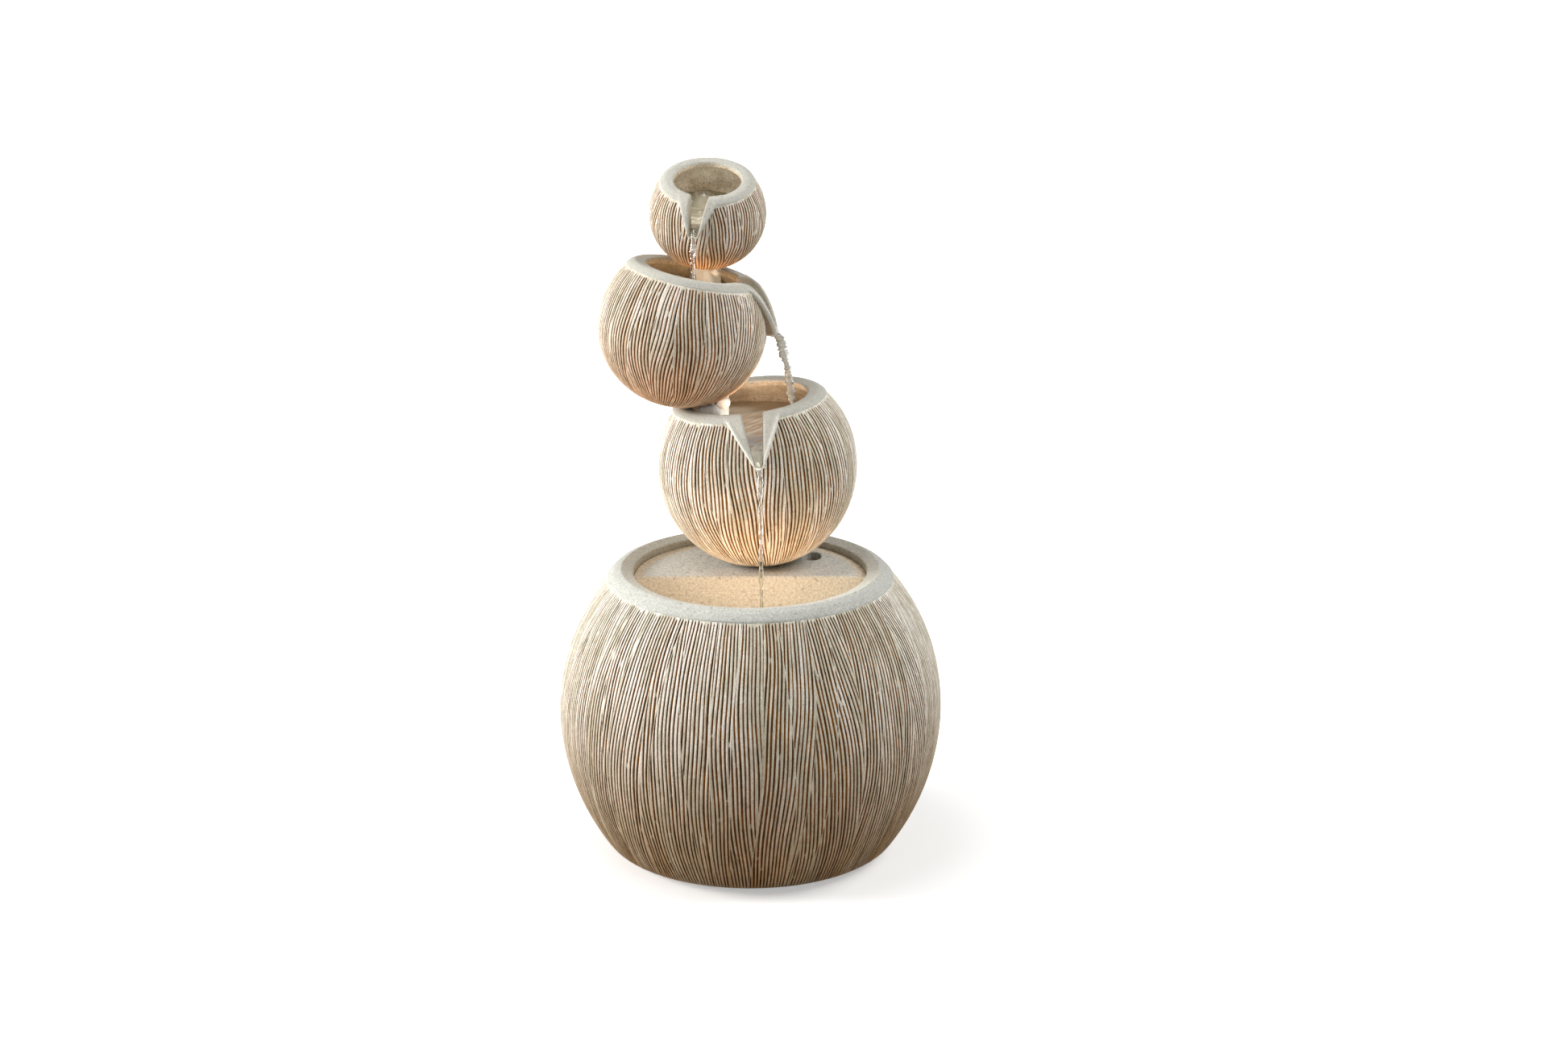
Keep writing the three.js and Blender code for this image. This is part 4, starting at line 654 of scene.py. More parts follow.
# Rim, beak, inner wall and floor of a bowl as one cast: the filled ball joined softly to the beak (a wedge seen
# from the front held within a turned side view), less the room inside, the channel, the seat of the ball above
# and the way of the riser.
def bowlShell(name, ball, above):
    joint, (crestR, crestH), (mouthR, mouthH) = ball["joint"], ball["crest"], ball["mouth"]
    floor, tip, reach = ball["floor"], ball["tip"], ball["reach"]
    low = floor - cast["under"]
    jointR = float(ovalRadius(ball, joint))
    wallH, roomH = np.linspace(low, joint - 1.0, 24), np.linspace(floor + 4, joint * 0.72, 14)
    filled = ([(0, low)] + list(zip(ovalRadius(ball, wallH) - cast["inset"], wallH))
              + [(jointR + 0.1, joint - 0.5), (jointR + 0.25, joint + 0.1), (crestR + 3.2, crestH - 1.4),
                 (crestR + 1.0, crestH - 0.25), (crestR - 0.6, crestH), (mouthR, mouthH), (0, mouthH)])
    room = ([(0, floor), (float(ovalRadius(ball, float(floor), ball["wall"])) - 5, floor)]
            + list(zip(ovalRadius(ball, roomH, ball["wall"]), roomH))
            + [(mouthR, mouthH - 3.5), (mouthR, mouthH + 30), (0, mouthH + 30)])
    bend = np.linspace(0, 1, 13)[:, None]
    start, turnBy, end = np.array([reach, tip + 3.0]), np.array(ball["shoulder"]), np.array([crestR, crestH])
    ridge = (1 - bend) ** 2 * start + 2 * bend * (1 - bend) * turnBy + bend ** 2 * end
    side = ([(0, tip - 1), (float(ovalRadius(ball, tip - 1.0)) - 1, tip - 1), (reach - 1.5, tip)]
            + [tuple(p) for p in ridge] + [(mouthR, mouthH), (0, mouthH)])
    extent = (reach + 6, low - 4, mouthH + 34)
    filledTable, roomTable, sideTable = (outlineTable(o, extent, 0.4) for o in (filled, room, side))
    azimuth = math.radians(ball["azimuth"])
    outwards = np.array([math.sin(azimuth), -math.cos(azimuth)])
    aside = np.array([math.cos(azimuth), math.sin(azimuth)])
    centreZ = ball["centre"][2]
    near = (riserBends[:, 2] > centreZ - ball["foot"]) & (riserBends[:, 2] < centreZ + joint)
    bends = toBall(ball, riserBends[near])

    def parts(p):
        r, z = np.hypot(p[:, 0], p[:, 1]), p[:, 2]
        a, b = p[:, :2] @ outwards, p[:, :2] @ aside
        outer = wedgeField(b, z, *ball["outerHalf"], tip, mouthH + 1)
        inner = wedgeField(b, z, *ball["innerHalf"], tip + 1.6, mouthH + 1)
        return r, z, a, outer, inner, lookUp(sideTable, r, z), lookUp(roomTable, r, z)

    def nearRim(z):  # the beak's ridges fade out near the crest
        return smoothStep(crestH - 0.3, joint + 0.6, z)

    def field(p):
        r, z, a, outer, inner, side, room = parts(p)
        raised = ball["ridge"] * nearRim(z)
        beak = softMax(outer, side - raised * np.exp(-((outer + 1.3) / 0.95) ** 2), cast["beakSoft"])
        solid = softMin(lookUp(filledTable, r, z), np.maximum(beak, -a), cast["joinSoft"])
        solid = softMax(solid, -room, cast["soft"])
        solid = softMax(solid, -np.maximum(inner, mouthR - 8 - a), cast["soft"])
        if above:
            q = toBall(above, toFrame(ball, p))
            seat = np.hypot(q[:, 0], q[:, 1]) - ovalRadius(above, q[:, 2])
            seat = np.where(q[:, 2] > above["joint"], 9.0, np.maximum(seat, -above["foot"] - q[:, 2]))
            solid = np.maximum(solid, -seat + cast["seatGap"])
        for i in range(len(bends) - 1):
            d = bends[i + 1] - bends[i]
            t = np.clip((p - bends[i]) @ d / (d @ d), 0, 1)
            tube = np.linalg.norm(p - bends[i] - t[:, None] * d, axis=1)
            solid = np.maximum(solid, cast["riserWay"] - tube)
        return solid

    wide = reach + 3
    points, faces = fieldSurface(field, (-wide, -wide, low - 2), (wide, wide, mouthH + 4), ball["step"])
    r, z, a, outer, inner, side, room = parts(points)
    front = smoothStep(-1.0, 1.0, a - crestR * 0.8) * smoothStep(2.0, 0.5, outer)
    onTop = front * smoothStep(2.0, 1.2, np.abs(side))
    # Paint masks: ridge a painted highlight, flank painted shade, and the wet inside, painted paler for light it
    # lacks.
    masks = {
        "ridge": onTop * np.exp(-((outer + 1.1) / 0.9) ** 4) * ball["ridge"] * nearRim(z),
        "cheek": onTop * smoothStep(-1.5, -3.0, outer) * smoothStep(0.2, 0.8, inner),
        "paintedFlankShade": front * smoothStep(-0.8, -0.3, outer) * smoothStep(-1.0, -2.5, side),
        "channel": smoothStep(0.6, 0.1, inner) * smoothStep(-4.0, 2.0, a - mouthR) * smoothStep(0.5, -1.0, side),
        "wetAndPaintedLight": (smoothStep(1.0, 0.4, np.abs(room)) * smoothStep(-0.7, -1.6, z - mouthH)
                * smoothStep(3.0, -3.0, a - mouthR)),
    }
    makePiece(name + "_bowl_shell", toFrame(ball, points), [faces], "tower", bowlStone,
              replaced=(name + "_bowl",), values=masks)


for name, above in (("lower", "middle"), ("middle", "top"), ("top", None)):
    bowlShell(name, balls[name], balls.get(above))
print("bowl shells made")

rim = {"proud": 0.35, "bevel": (85.3, 181.5), "mouth": 72.7, "neck": 162.9, "ledge": (7, 170.2, 164.2),
       "ledgeStart": (11.0, 13.0), "ledgeRadius": 72, "wall": 6, "floor": 8.0, "under": 4.6, "hiddenTop": 175.8,
       "bandRadii": (79.9, 80.6), "columns": 480,
       "crown": [(84.2, 182.1), (82.6, 182.75), (81.0, 183.3), (80.5, 183.4), (80.1, 183.38), (79.7, 183.28),
                 (79.0, 183.1), (77.0, 182.6), (74.6, 182.0), (73.6, 181.75), (73.1, 181.55), (72.8, 181.2),
                 (72.7, 180.6)]}


# The reservoir's wall within the combed skin, its rim, mouth, neck, ledge, inner wall and floor: a profile carried
# round the axis. The ledge reaches in only behind the deck's skirt, so its reach depends on the angle.
def reservoirInside():
    ball = balls["base"]
    middle, mouth, proud, floor = ball["centre"][2], rim["mouth"], rim["proud"], rim["floor"]
    hidden = np.linspace(rim["under"], rim["hiddenTop"], 26)
    hiddenR = ovalRadius(ball, hidden - middle) - footInset(hidden - 2) - skin["thick"] - 0.3
    jointR = float(ovalRadius(ball, ball["joint"]))
    bevelR, bevelZ = rim["bevel"]
    bevel = [(jointR + 0.4 + (bevelR - jointR - 0.4) * k, 177.9 + (bevelZ - 177.9) * k ** 0.9)
             for k in np.linspace(0, 1, 6)[1:]]
    ledge, ledgeTop, ledgeBottom = rim["ledge"]
    neck = [(mouth, z) for z in (179, 176, 172, ledgeTop + 0.02, ledgeTop, ledgeTop - 0.6, ledgeBottom,
                                 ledgeBottom - 0.01, rim["neck"])]
    wallZ = np.linspace(rim["neck"] - 5, floor + 4, 26)
    wallR = ovalRadius(ball, wallZ - middle, rim["wall"])
    outside = (list(zip(hiddenR, hidden)) + [(jointR + proud, 177.0), (jointR + proud + 0.1, 177.8)] + bevel
               + rim["crown"])
    inner = list(zip(wallR, wallZ)) + [(wallR[-1] - 1.5, floor + 1.2), (wallR[-1] - 5, floor)]
    reach = np.array([0] * (len(outside) + 4) + [ledge - 0.5, ledge, ledge, 0, 0] + [0] * len(inner), float)
    behind = smoothStep(*rim["ledgeStart"], rim["ledgeRadius"] * np.sin(fullTurn(rim["columns"])))
    points, faces = turnedGrid([(0, rim["under"])] + outside + neck + inner + [(0, floor)], rim["columns"],
                               reach[:, None] * behind)
    away = np.hypot(points[:, 0], points[:, 1])
    # Inside the crest the rim takes its edge colour, painted shade where the lit bevel turns to the inner slope.
    makePiece("reservoir_rim_and_inside", points, faces, "base", rimStone, replaced=("base_vessel",),
              values={"edge": 1 - smoothStep(*rim["bandRadii"], away)})


reservoirInside()


# Field of a half-moon plate joined to its skirt, with softly rounded edges, less the shaft and the finger hole.
def deckField(p):
    x, y, z = p.T
    block = softMax(softMax(np.hypot(x, y) - deck["radius"], z - deck["top"], 0.6), -y, deck["round"])
    plate = np.maximum(block, deck["top"] - deck["thick"] - z)
    skirt = np.maximum(np.maximum(block, y - deck["skirt"]), deck["top"] - deck["drop"] - z)
    shaftX, shaftY, shaftR = deck["shaft"]
    solid = np.maximum(np.minimum(plate, skirt), shaftR - np.hypot(x - shaftX, y - shaftY))
    fingerX, fingerY, fingerR, half = deck["finger"]
    away = np.hypot(x - fingerX, np.maximum(np.abs(y - fingerY) - half, 0))
    return softMax(solid, fingerR - away, 1.0)


points, faces = fieldSurface(deckField, deck["low"], deck["high"], deck["step"])
# A band round the deck's back edge takes the edge colour: painted shade and warm lamp glow standing in for a slope
# down from the rim.
paintedBandShare = (smoothStep(*deck["bandRadii"], np.hypot(points[:, 0], points[:, 1]))
          * smoothStep(*deck["bandFront"], points[:, 1]))
makePiece("sand_deck", points, [faces], "tower", deckStone, replaced=("reservoir_deck",), values={"edge": paintedBandShare})

footRing = {"profile": [(0, 177.8), (19.2, 177.8), (20, 178.4), (20, 180.4), (0, 180.4)], "place": (7.2, 36.6, 0)}
points, faces = turnedGrid(footRing["profile"], 64)
makePiece("lower_foot_ring", points + np.array(footRing["place"]), faces, "tower", deckStone)
print("reservoir and deck made")


# A column along the riser from a bowl's floor to the ball above: the radius plus six waves round it that turn as
# they rise, lumpy like a rough cast stone.
def lugColumn(name, centres, radius, seed):
    rng = np.random.default_rng(seed)
    centres = np.asarray(centres, float)
    rows, columns = 40, 64
    t = np.linspace(0, len(centres) - 1, rows)
    i = np.clip(t.astype(int), 0, len(centres) - 2)
    spine = centres[i] + (centres[i + 1] - centres[i]) * (t - i)[:, None]
    turn = fullTurn(columns)
    waves = sum(rng.normal(0, 0.35) * np.cos(m * turn[None, :] + rng.uniform(0, 6)
                                             + t[:, None] * rng.uniform(-1.5, 1.5)) for m in (2, 3, 4, 5, 6, 7))
    r = radius + waves
    rings = np.stack([spine[:, 0:1] + r * np.cos(turn), spine[:, 1:2] + r * np.sin(turn),
                      spine[:, 2:3] + 0.25 * waves + 0 * turn], -1)
    makePiece(name + "_stone", *cappedRings(spine[0], rings, spine[-1]), "tower", lugStone, replaced=(name,))


lugs = {
    "middle_support": {"centres": [(-18.5, 46.2, 231), (-21, 47.4, 250), (-22, 48.4, 268), (-22.6, 50.2, 284)],
                       "radius": 9.4, "seed": 3},
    "top_support": {"centres": [(-26.4, 60.6, 324), (-27.2, 64, 336), (-27.6, 66.6, 350), (-27.8, 68.4, 361)],
                    "radius": 9.3, "seed": 4},
}
for name, look in lugs.items():
    lugColumn(name, **look)


# A rounded pebble: a ball with nine soft flat cuts, pressed to three half-widths.
def pebble(name, centre, half, seed):
    rng = np.random.default_rng(seed)
    rows, columns, cuts = 22, 36, 9
    up, turn = np.linspace(0, np.pi, rows)[:, None], fullTurn(columns)[None, :]
    d = np.stack([np.sin(up) * np.cos(turn), np.sin(up) * np.sin(turn), np.cos(up) + 0 * turn], -1)
    size = np.ones(d.shape[:2])
    for _ in range(cuts):
        n = rng.normal(size=3)
        n /= np.linalg.norm(n)
        size = np.minimum(size, 0.86 / np.maximum(d @ n, 0.05))
    size = 0.6 * size + 0.4 * np.minimum(size, 1)
    points = d * size[..., None] * np.asarray(half) + np.asarray(centre)
    makePiece(name, *cappedRings(points[0, 0], points[1:-1], points[-1, 0], True), "tower", lugStone)


pebbles = {
    "lug_under_middle_ball": {"centre": (-17.5, 33.5, 280.5), "half": (5.2, 5.2, 4.4), "seed": 8},
    "lug_behind_middle_ball": {"centre": (-27, 36, 281), "half": (5.0, 4.6, 3.8), "seed": 9},
    "lug_beside_middle_ball": {"centre": (-25, 20.5, 278.6), "half": (7.0, 4.6, 4.4), "seed": 12},
    "lug_under_top_ball": {"centre": (-21.5, 54.0, 360.0), "half": (3.4, 4.0, 3.6), "seed": 10},
}
for name, look in pebbles.items():
    pebble(name, **look)
print("supports made")

# The white of froth, also used for painted glints on the water; each water's edge colour is painted shade where it
# is seen edge-on.
frothGlintWhite = rgb(248, 248, 244)
ripples = {"scale": 130.0, "relief": 0.3}
waters = {
    "pool": {"frothAndGlint": (0.68, 0.8), "tint": rgb(192, 178, 158), "edge": rgb(190, 178, 160), "scale": 420.0,
             "clear": 0.06},
    "beak": {"frothAndGlint": (0.68, 0.8), "tint": rgb(206, 200, 184), "edge": rgb(200, 194, 178), "scale": 420.0,
             "clear": 0.1},
    "top bowl": {"frothAndGlint": (0.58, 0.68), "tint": rgb(164, 154, 132), "edge": rgb(176, 168, 148), "scale": 300.0,
                 "clear": 0.05},
    "stream": {"frothAndGlint": (0.6, 0.72), "tint": rgb(236, 236, 230), "edge": rgb(186, 183, 174), "scale": 260.0,
               "clear": 1.0},
    "grey stream": {"frothAndGlint": (0.64, 0.72), "tint": rgb(190, 188, 178), "edge": rgb(140, 138, 130), "scale": 260.0,
                    "clear": 0.45},
}


# Water with white spots where a noise is high, partly froth and partly painted glints: white and dull there,
# tinted, glossy and partly clear elsewhere, and towards the edges seen edge-on the edge colour, a painted shade.
def makeWater(name, look):
    material, tree, shader = newMaterial(name + " water")
    place = objectPlace(tree)
    frothAndGlint = noiseNode(tree, place, look["scale"], 4.0, 0.65)
    share = rangeNode(tree, frothAndGlint, *look["frothAndGlint"])
    facing = addNode(tree, "LayerWeight", {"Blend": 0.45}).outputs["Facing"]
    ripple = noiseNode(tree, place, ripples["scale"], 3.0)
    setInputs(tree, shader, {
        "Base Color": mixColour(tree, share, mixColour(tree, facing, look["tint"], look["edge"]), frothGlintWhite),
        "Transmission Weight": look["clear"], "IOR": 1.33,
        "Roughness": rangeNode(tree, frothAndGlint, *look["frothAndGlint"], 0.02, 0.4),
        "Normal": bumpNode(tree, ripple, ripples["relief"], 0.001)})
    white = addNode(tree, "BsdfDiffuse", {"Color": frothGlintWhite})
    frothAndGlintMix = addNode(tree, "MixShader", {0: share, 1: shader.outputs[0], 2: white.outputs[0]})
    passShadows(tree, frothAndGlintMix.outputs[0], (0.93, 0.93, 0.9, 1))
    return material


waterMaterials = {name: makeWater(name, look) for name, look in waters.items()}


poolWaves = {"rings": 1.5, "fade": 14, "small": 0.10, "moundRadius": 8.5}


# A round sheet of water, its top raised by fading rings (a cosine) round where a stream lands, by small random
# sine waves and by a mound over an outlet.
def pool(name, centre, level, radius, landing, body, height=0.3, thick=3.0, seed=1, ball=None, mound=0):
    rows, columns, waves = 60, 120, 9
    slopes = np.random.default_rng(seed).normal(0, 0.45, (waves, 3))
    share, turn = (np.arange(1, rows + 1) / rows)[:, None], fullTurn(columns)[None, :]
    x = centre[0] + radius * share * np.cos(turn)
    y = centre[1] + radius * share * np.sin(turn)

    def surface(px, py):
        away = np.hypot(px - landing[0], py - landing[1])
        rings = height * np.cos(away * poolWaves["rings"]) * np.exp(-away / poolWaves["fade"])
        small = sum(poolWaves["small"] * np.sin(px * s[0] + py * s[1] + s[2]) for s in slopes)
        return level + (rings + small + mound * np.exp(-(away / poolWaves["moundRadius"]) ** 4))

    rings = np.concatenate([np.stack([x, y, surface(x, y)], -1), np.stack([x, y, level - thick + 0 * x], -1)[::-1]])
    points, faces = cappedRings([*centre, surface(*np.array(centre))], rings, [*centre, level - thick], True)
    makePiece(name, toFrame(ball, points) if ball else points, faces, body,
              waterMaterials["top bowl" if mound else "pool"], slotName="water")


# Fills a bowl to a level: the radius is that of a sphere as wide as the bowl's inside, and a little more.
def poolIn(name, level, landing, seed):
    ball = balls[name]
    radius = math.sqrt((ball["radius"] - ball["wall"]) ** 2 - (level - ball["centre"][2]) ** 2)
    pool(f"water_in_{name}_bowl", ball["centre"][:2], level, radius + 0.5, landing, "tower", seed=seed)


poolIn("lower", 266.0, (28, 27), 2)
poolIn("middle", 326.5, (-34, 18), 3)
poolIn("top", 391.2, (-27, 50), 4)
pool("water_over_top_floor", (0, 0), -0.2, 27.6, (-3.2, 15.3), "tower", height=0.5, thick=0.9, seed=9,
     ball=balls["top"], mound=4.9)
pool("water_in_reservoir", (0, 0), 150.0, 97.0, (7, -38), "base", height=0.8, thick=20.0, seed=5)


# A stream: a round section carried along a smooth falling path, with beads along its radius and a twisted
# flattening round it.
def stream(name, path, radii, seed, material):
    rng = np.random.default_rng(seed)
    path = np.asarray(path, float)
    rows, columns = 220, 20
    t = np.linspace(0, len(path) - 1, rows)
    i = np.clip(t.astype(int), 0, len(path) - 2)
    f = (t - i)[:, None]
    p0, p1 = path[np.maximum(i - 1, 0)], path[i]
    p2, p3 = path[i + 1], path[np.minimum(i + 2, len(path) - 1)]
    spine = 0.5 * (2 * p1 + (p2 - p0) * f + (2 * p0 - 5 * p1 + 4 * p2 - p3) * f ** 2
                   + (3 * p1 - p0 - 3 * p2 + p3) * f ** 3)
    share = t / t[-1]
    radius = np.interp(share, np.linspace(0, 1, len(radii)), radii)
    beads = sum(rng.uniform(0.05, 0.16) * np.sin(share * k * (6 + 2 * rng.random()) + rng.uniform(0, 6))
                for k in (3, 5, 9, 14, 22))
    radius = radius * (1 + beads * np.clip(share * 3, 0.2, 1))
    tangent = np.gradient(spine, axis=0)
    tangent /= np.linalg.norm(tangent, axis=1)[:, None]
    side = np.cross(tangent, [0.0, 1.0, 0.0])
    side /= np.linalg.norm(side, axis=1)[:, None]
    other = np.cross(tangent, side)
    turn = fullTurn(columns)
    twist = turn[None, :] + share[:, None] * 9
    r = radius[:, None] * (1 + 0.25 * np.cos(2 * twist) + 0.12 * np.cos(3 * twist - 5 * share[:, None]))
    rings = (spine[:, None] + r[..., None] * (np.cos(turn)[None, :, None] * side[:, None]
                                              + np.sin(turn)[None, :, None] * other[:, None]))
    makePiece(name, *cappedRings(spine[0], rings, spine[-1], True), "tower", waterMaterials[material],
              slotName="water")


# Water in a beak's channel: a strip level with the pool that bends down over the tip, as closed rings across it.
def channelWater(name, level, start, end, seed, material):
    ball, rng = balls[name], np.random.default_rng(seed)
    axes, azimuth = ballAxes(ball), math.radians(ball["azimuth"])
    sine, cosine = math.sin(azimuth), math.cos(azimuth)
    rows, across = 60, 15
    a = np.linspace(start, ball["reach"] - 0.9, rows)[:, None]
    side = np.linspace(-1, 1, across)[None, :]
    x, y = a * sine + 0 * side, -a * cosine + 0 * side
    flat = (level - ball["centre"][2] - x * axes[0, 2] - y * axes[1, 2]) / axes[2, 2]
    over = smoothStep(ball["reach"] - 11, ball["reach"] - 0.5, a) ** 1.6
    h = flat * (1 - over) + (ball["tip"] + end) * over
    lowEnd, halves = ball["tip"] + 1.6 + ball["innerHalf"][0], ball["innerHalf"]
    half = halves[0] + (halves[1] - halves[0]) * np.clip((h - lowEnd) / (ball["mouth"][1] + 1 - lowEnd), 0, 1)
    b = side * (half + 0.35 - 1.0 * over)
    ripple = sum(0.12 * np.sin(a * rng.normal(0, 0.8) + b * rng.normal(0, 0.9) + rng.uniform(0, 6))
                 for _ in range(7))
    x, y = a * sine + b * cosine, -a * cosine + b * sine
    top = np.stack([x, y, h + ripple * (1 - side ** 4) - 0.3 * side ** 2], -1)
    bottom = np.stack([x, y, h - 1.4 + 0.5 * side ** 2], -1)[:, ::-1]
    rings = np.concatenate([top, bottom], 1)
    points, faces = cappedRings(rings[0].mean(0), rings, rings[-1].mean(0), True)
    makePiece(f"water_in_{name}_beak", toFrame(ball, points), faces, "tower", waterMaterials[material],
              slotName="water")


channelWater("lower", 266.1, 49.0, 3.6, 6, "beak")
channelWater("middle", 326.6, 40.0, 3.6, 7, "beak")
channelWater("top", 391.3, 26.0, 3.0, 8, "top bowl")


# The point of a beak's channel at a distance from the ball's axis and a height.
def beakPoint(ball, out, up):
    azimuth = math.radians(ball["azimuth"])
    return toFrame(ball, np.array([[out * math.sin(azimuth), -out * math.cos(azimuth), up]]))[0]


# A path out of a beak's channel and over its tip to a landing point, level at first and steeper as it falls.
def fallPath(ball, landing, inner):
    start = beakPoint(ball, inner, ball["tip"] + 4.2)
    lip = beakPoint(ball, ball["reach"] - 2.0, ball["tip"] + 3.0)
    t = np.linspace(0, 1, 10)[:, None]
    shares = np.concatenate([t ** 0.8, t ** 0.8, 0.12 * t + 0.88 * t ** 1.7], 1)
    return np.concatenate([[start], lip + (np.asarray(landing, float) - lip) * shares])


streams = {
    "lower": {"landing": (7.6, -38.5, 149), "inner": 64, "radii": (1.9, 2.0, 1.4, 1.15, 1.05, 1.1, 1.0), "seed": 1,
              "material": "stream"},
    "middle": {"landing": (28.5, 27.5, 265.5), "inner": 54, "radii": (2.2, 2.9, 2.6, 2.2, 1.9, 1.6), "seed": 2,
               "material": "grey stream"},
    "top": {"landing": (-35.4, 17.5, 326), "inner": 37, "radii": (1.5, 1.6, 1.3, 1.0, 0.9), "seed": 3,
            "material": "stream"},
}
for name, look in streams.items():
    stream(f"stream_from_{name}_bowl", fallPath(balls[name], look["landing"], look["inner"]), look["radii"],
           look["seed"], look["material"])
print("water made")

# Moulded and drawn pieces keep their solids and take these finishes.
finishes = {
    "black_plastic": {"colour": rgb(34, 35, 38), "scale": 260.0, "rough": (0.42, 0.6), "bump": 0.08},
    "grey_plastic": {"colour": rgb(88, 92, 95), "scale": 220.0, "rough": (0.4, 0.58), "bump": 0.08},
    "black_rubber": {"colour": rgb(38, 38, 40), "scale": 180.0, "rough": (0.78, 0.92), "bump": 0.2},
    "lead_sheath": {"colour": rgb(30, 30, 33), "scale": 340.0, "rough": (0.45, 0.6), "bump": 0.06},
    "white_ceramic": {"colour": rgb(236, 233, 226), "scale": 500.0, "rough": (0.18, 0.28), "bump": 0.03},
    "ferrite_magnet": {"colour": rgb(62, 64, 68), "scale": 420.0, "rough": (0.35, 0.5), "bump": 0.1},
    "clear_vinyl": {"colour": rgb(206, 222, 220), "scale": 150.0, "rough": (0.14, 0.26), "ior": 1.45},
    "clear_lens": {"colour": rgb(250, 244, 230), "scale": 150.0, "rough": (0.1, 0.22), "ior": 1.49},
}
lightSource = {"colour": rgb(255, 214, 150), "scale": 400.0, "strength": 2.5}


# A moulded finish; with a refraction index it is glass-like, fainter clouded and let through by shadow rays.
def makeMoulded(name, look):
    material, tree, shader = newMaterial(name.replace("_", " "))
    low, high = look["rough"]
    mould = addNode(tree, "Group", {"Colour": look["colour"], "Scale": look["scale"], "Low": low, "High": high,
                                    "Change": 0.1 if "ior" in look else 0.25}, node_tree=mouldGroup).outputs
    setInputs(tree, shader, {"Base Color": mould["Colour"], "Roughness": mould["Roughness"]})
    if "ior" in look:
        setInputs(tree, shader, {"Transmission Weight": 1.0, "IOR": look["ior"]})
        passShadows(tree, shader.outputs[0], (0.9, 0.9, 0.88, 1))
    else:
        setInputs(tree, shader, {"Normal": bumpNode(tree, mould["Height"], look["bump"], 0.0004)})
    return material


def makeLightSource(look):
    material, tree, shader = newMaterial("warm light source")
    colour = addNode(tree, "Group", {"Colour": look["colour"], "Scale": look["scale"]},
                     node_tree=mouldGroup).outputs["Colour"]
    setInputs(tree, shader, {"Base Color": colour, "Emission Color": colour, "Emission Strength": look["strength"]})
    return material


nodeMaterials = {name: makeMoulded(name, look) for name, look in finishes.items()}
nodeMaterials["warm_led"] = makeLightSource(lightSource)

slotOf = {row["node"]: row["material_slot"] for row in frame["record"]["subparts"]}
for nodeName, node in frame["nodes"].items():
    material = nodeMaterials.get(slotOf[nodeName])
    if material and not node.hide_render:
        node.data.materials.clear()
        node.data.materials.append(material)
print("hidden pieces finished")

studio = {
    "key": {"place": (-2.9, 0.0, 1.2), "size": 1.5, "power": 116, "colour": (1.0, 0.99, 0.97)},
    "top": {"place": (-0.8, -0.3, 2.7), "size": 1.6, "power": 21, "colour": (1.0, 0.995, 0.985)},
    "fill": {"place": (1.8, -0.1, 2.1), "size": 1.5, "power": 43, "colour": (0.99, 0.995, 0.99)},
}
aim = np.array([0, 0, 0.2])
worldStrength = 0.11
floorLook = {"colour": (0.82, 0.82, 0.81, 1), "roughness": 0.9, "whitening": (0.1, 0.5, 0.42, 1.0), "half": 6}
# Warm glow of the three lamps, one more on the lower bowl's wall and a pale one in the top bowl, all just over the
# water, facing up and tilted back.
glows = {
    "reservoir": {"place": (0.0, -0.052, 0.1535), "size": (0.13, 0.03), "power": 0.071, "spread": 170, "tilt": 22,
                  "colour": (1, 0.73, 0.48)},
    "lower": {"place": (0.0, 0.016, 0.2695), "size": (0.03, 0.024), "power": 0.0018, "spread": 130, "tilt": 0,
              "colour": (1, 0.66, 0.36)},
    "middle": {"place": (-0.030, 0.030, 0.3480), "size": (0.03, 0.016), "power": 0.006, "spread": 170, "tilt": 35,
               "colour": (1, 0.68, 0.4)},
    "lower_wall": {"place": (0.006, 0.010, 0.2705), "size": (0.03, 0.012), "power": 0.0145, "spread": 92,
                   "tilt": 60, "colour": (1, 0.78, 0.6)},
    "top_wall": {"place": (-0.027, 0.040, 0.3960), "size": (0.02, 0.01), "power": 0.0062, "spread": 160,
                 "tilt": 50, "colour": (0.92, 0.99, 1.0)},
}


def areaLight(name, look, shape):
    lamp = bpy.data.lights.new(name, "AREA")
    lamp.shape, lamp.energy, lamp.color = shape, look["power"], look["colour"]
    light = addObject(name, lamp)
    light.location = look["place"]
    return light, lamp


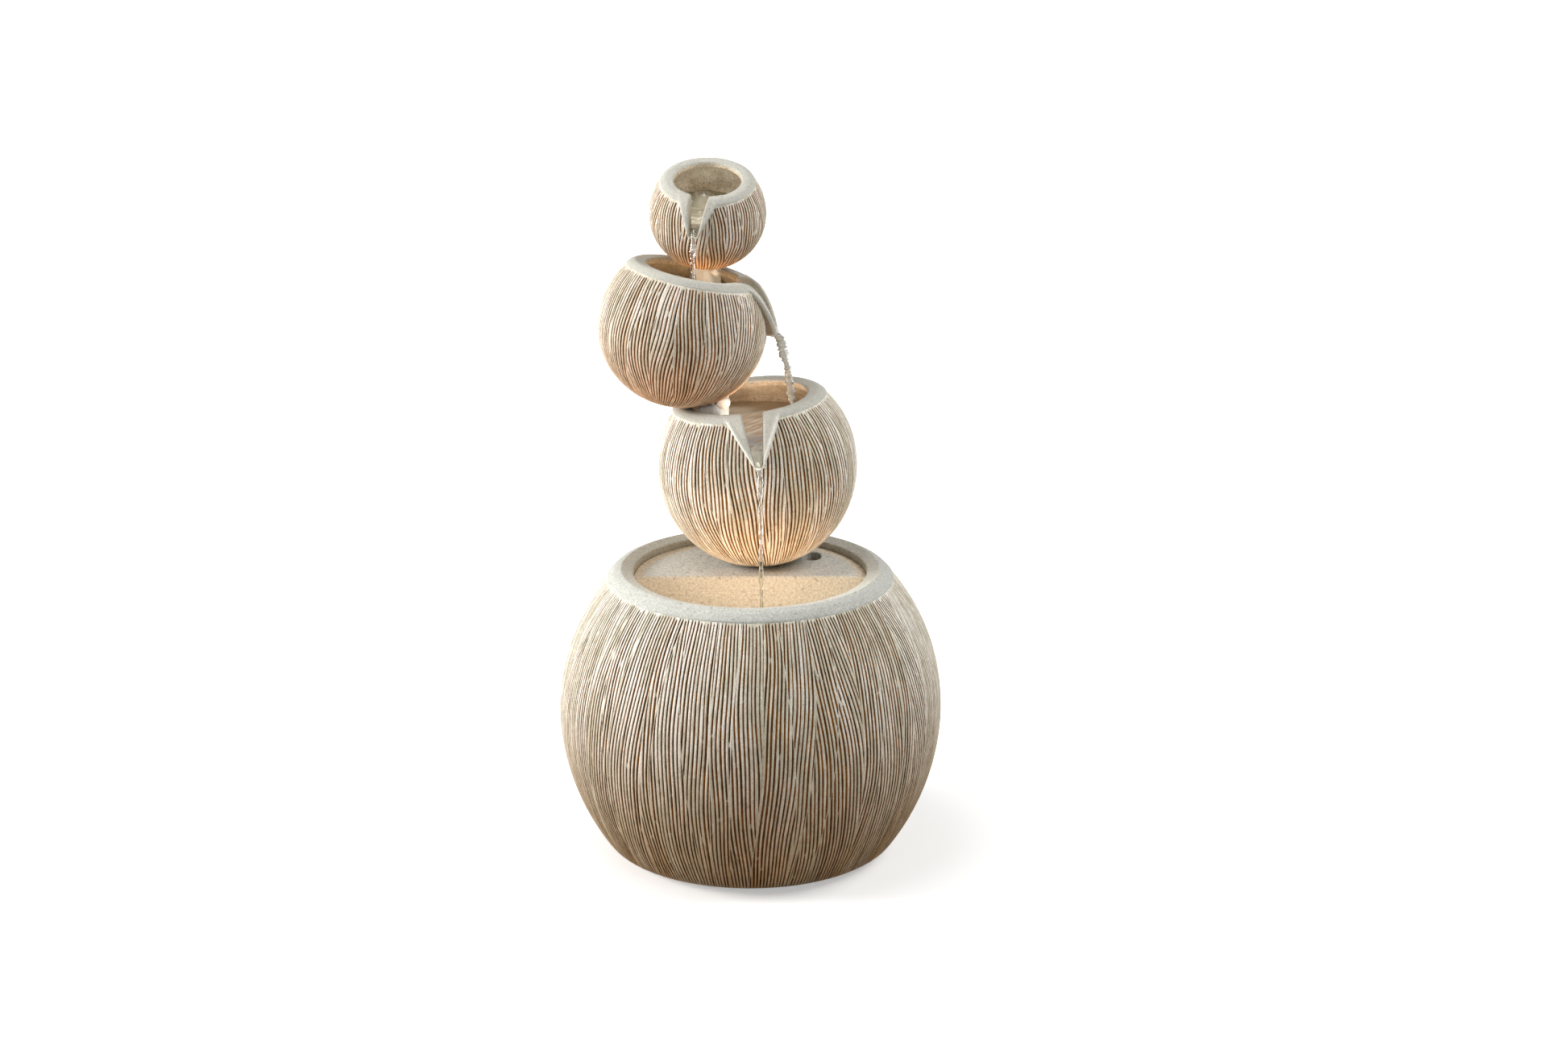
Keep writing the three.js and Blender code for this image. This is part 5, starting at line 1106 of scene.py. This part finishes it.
for name, look in studio.items():
    light, lamp = areaLight(name + "_light", look, "DISK")
    lamp.size = look["size"]
    direction = aim - np.array(look["place"])
    yaw = math.atan2(direction[1], direction[0])
    pitch = math.atan2(-direction[2], math.hypot(direction[0], direction[1]))
    light.rotation_euler = (math.pi / 2 - pitch, 0, yaw - math.pi / 2)
for name, look in glows.items():
    light, lamp = areaLight(name + "_glow", look, "ELLIPSE")
    lamp.size, lamp.size_y = look["size"]
    lamp.spread = math.radians(look["spread"])
    light.rotation_euler = (math.pi - math.radians(look["tilt"]), 0, 0)
    light.visible_camera = light.visible_glossy = light.visible_transmission = False
    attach(light, "tower")

# World: even light, plain white behind the object and in what gloss and glass show.
world = bpy.data.worlds.new("studio")
bpy.context.scene.world = world
world.use_nodes = True
tree = world.node_tree
tree.nodes.clear()
even = addNode(tree, "Background", {"Color": (1, 1, 1, 1), "Strength": worldStrength})
white = addNode(tree, "Background", {"Color": (1, 1, 1, 1), "Strength": 1.0})
mixed = addNode(tree, "MixShader", {0: seenRays(tree), 1: even.outputs[0], 2: white.outputs[0]})
addNode(tree, "OutputWorld", {"Surface": mixed.outputs[0]})

# Floor: pale, with the object's shadow; what it adds for the camera makes it white further out.
floorMaterial, tree, shader = newMaterial("studio floor")
setInputs(tree, shader, {"Base Color": floorLook["colour"], "Roughness": floorLook["roughness"]})
away = addNode(tree, "VectorMath", {0: objectPlace(tree)}, operation="LENGTH").outputs["Value"]
strength = mathNode(tree, "MULTIPLY", rangeNode(tree, away, *floorLook["whitening"]), seenRays(tree))
shine = addNode(tree, "Emission", {"Color": (1, 1, 1, 1), "Strength": strength})
setSurface(tree, addNode(tree, "AddShader", {0: shader.outputs[0], 1: shine.outputs[0]}).outputs[0])
floorMesh = bpy.data.meshes.new("studio_floor")
half = floorLook["half"]
floorMesh.from_pydata([(-half, -half, 0), (half, -half, 0), (half, half, 0), (-half, half, 0)], [], [(0, 1, 2, 3)])
floorMesh.materials.append(floorMaterial)
addObject("studio_floor", floorMesh)

bpy.context.scene.view_settings.view_transform = "Standard"
print("light and floor set")
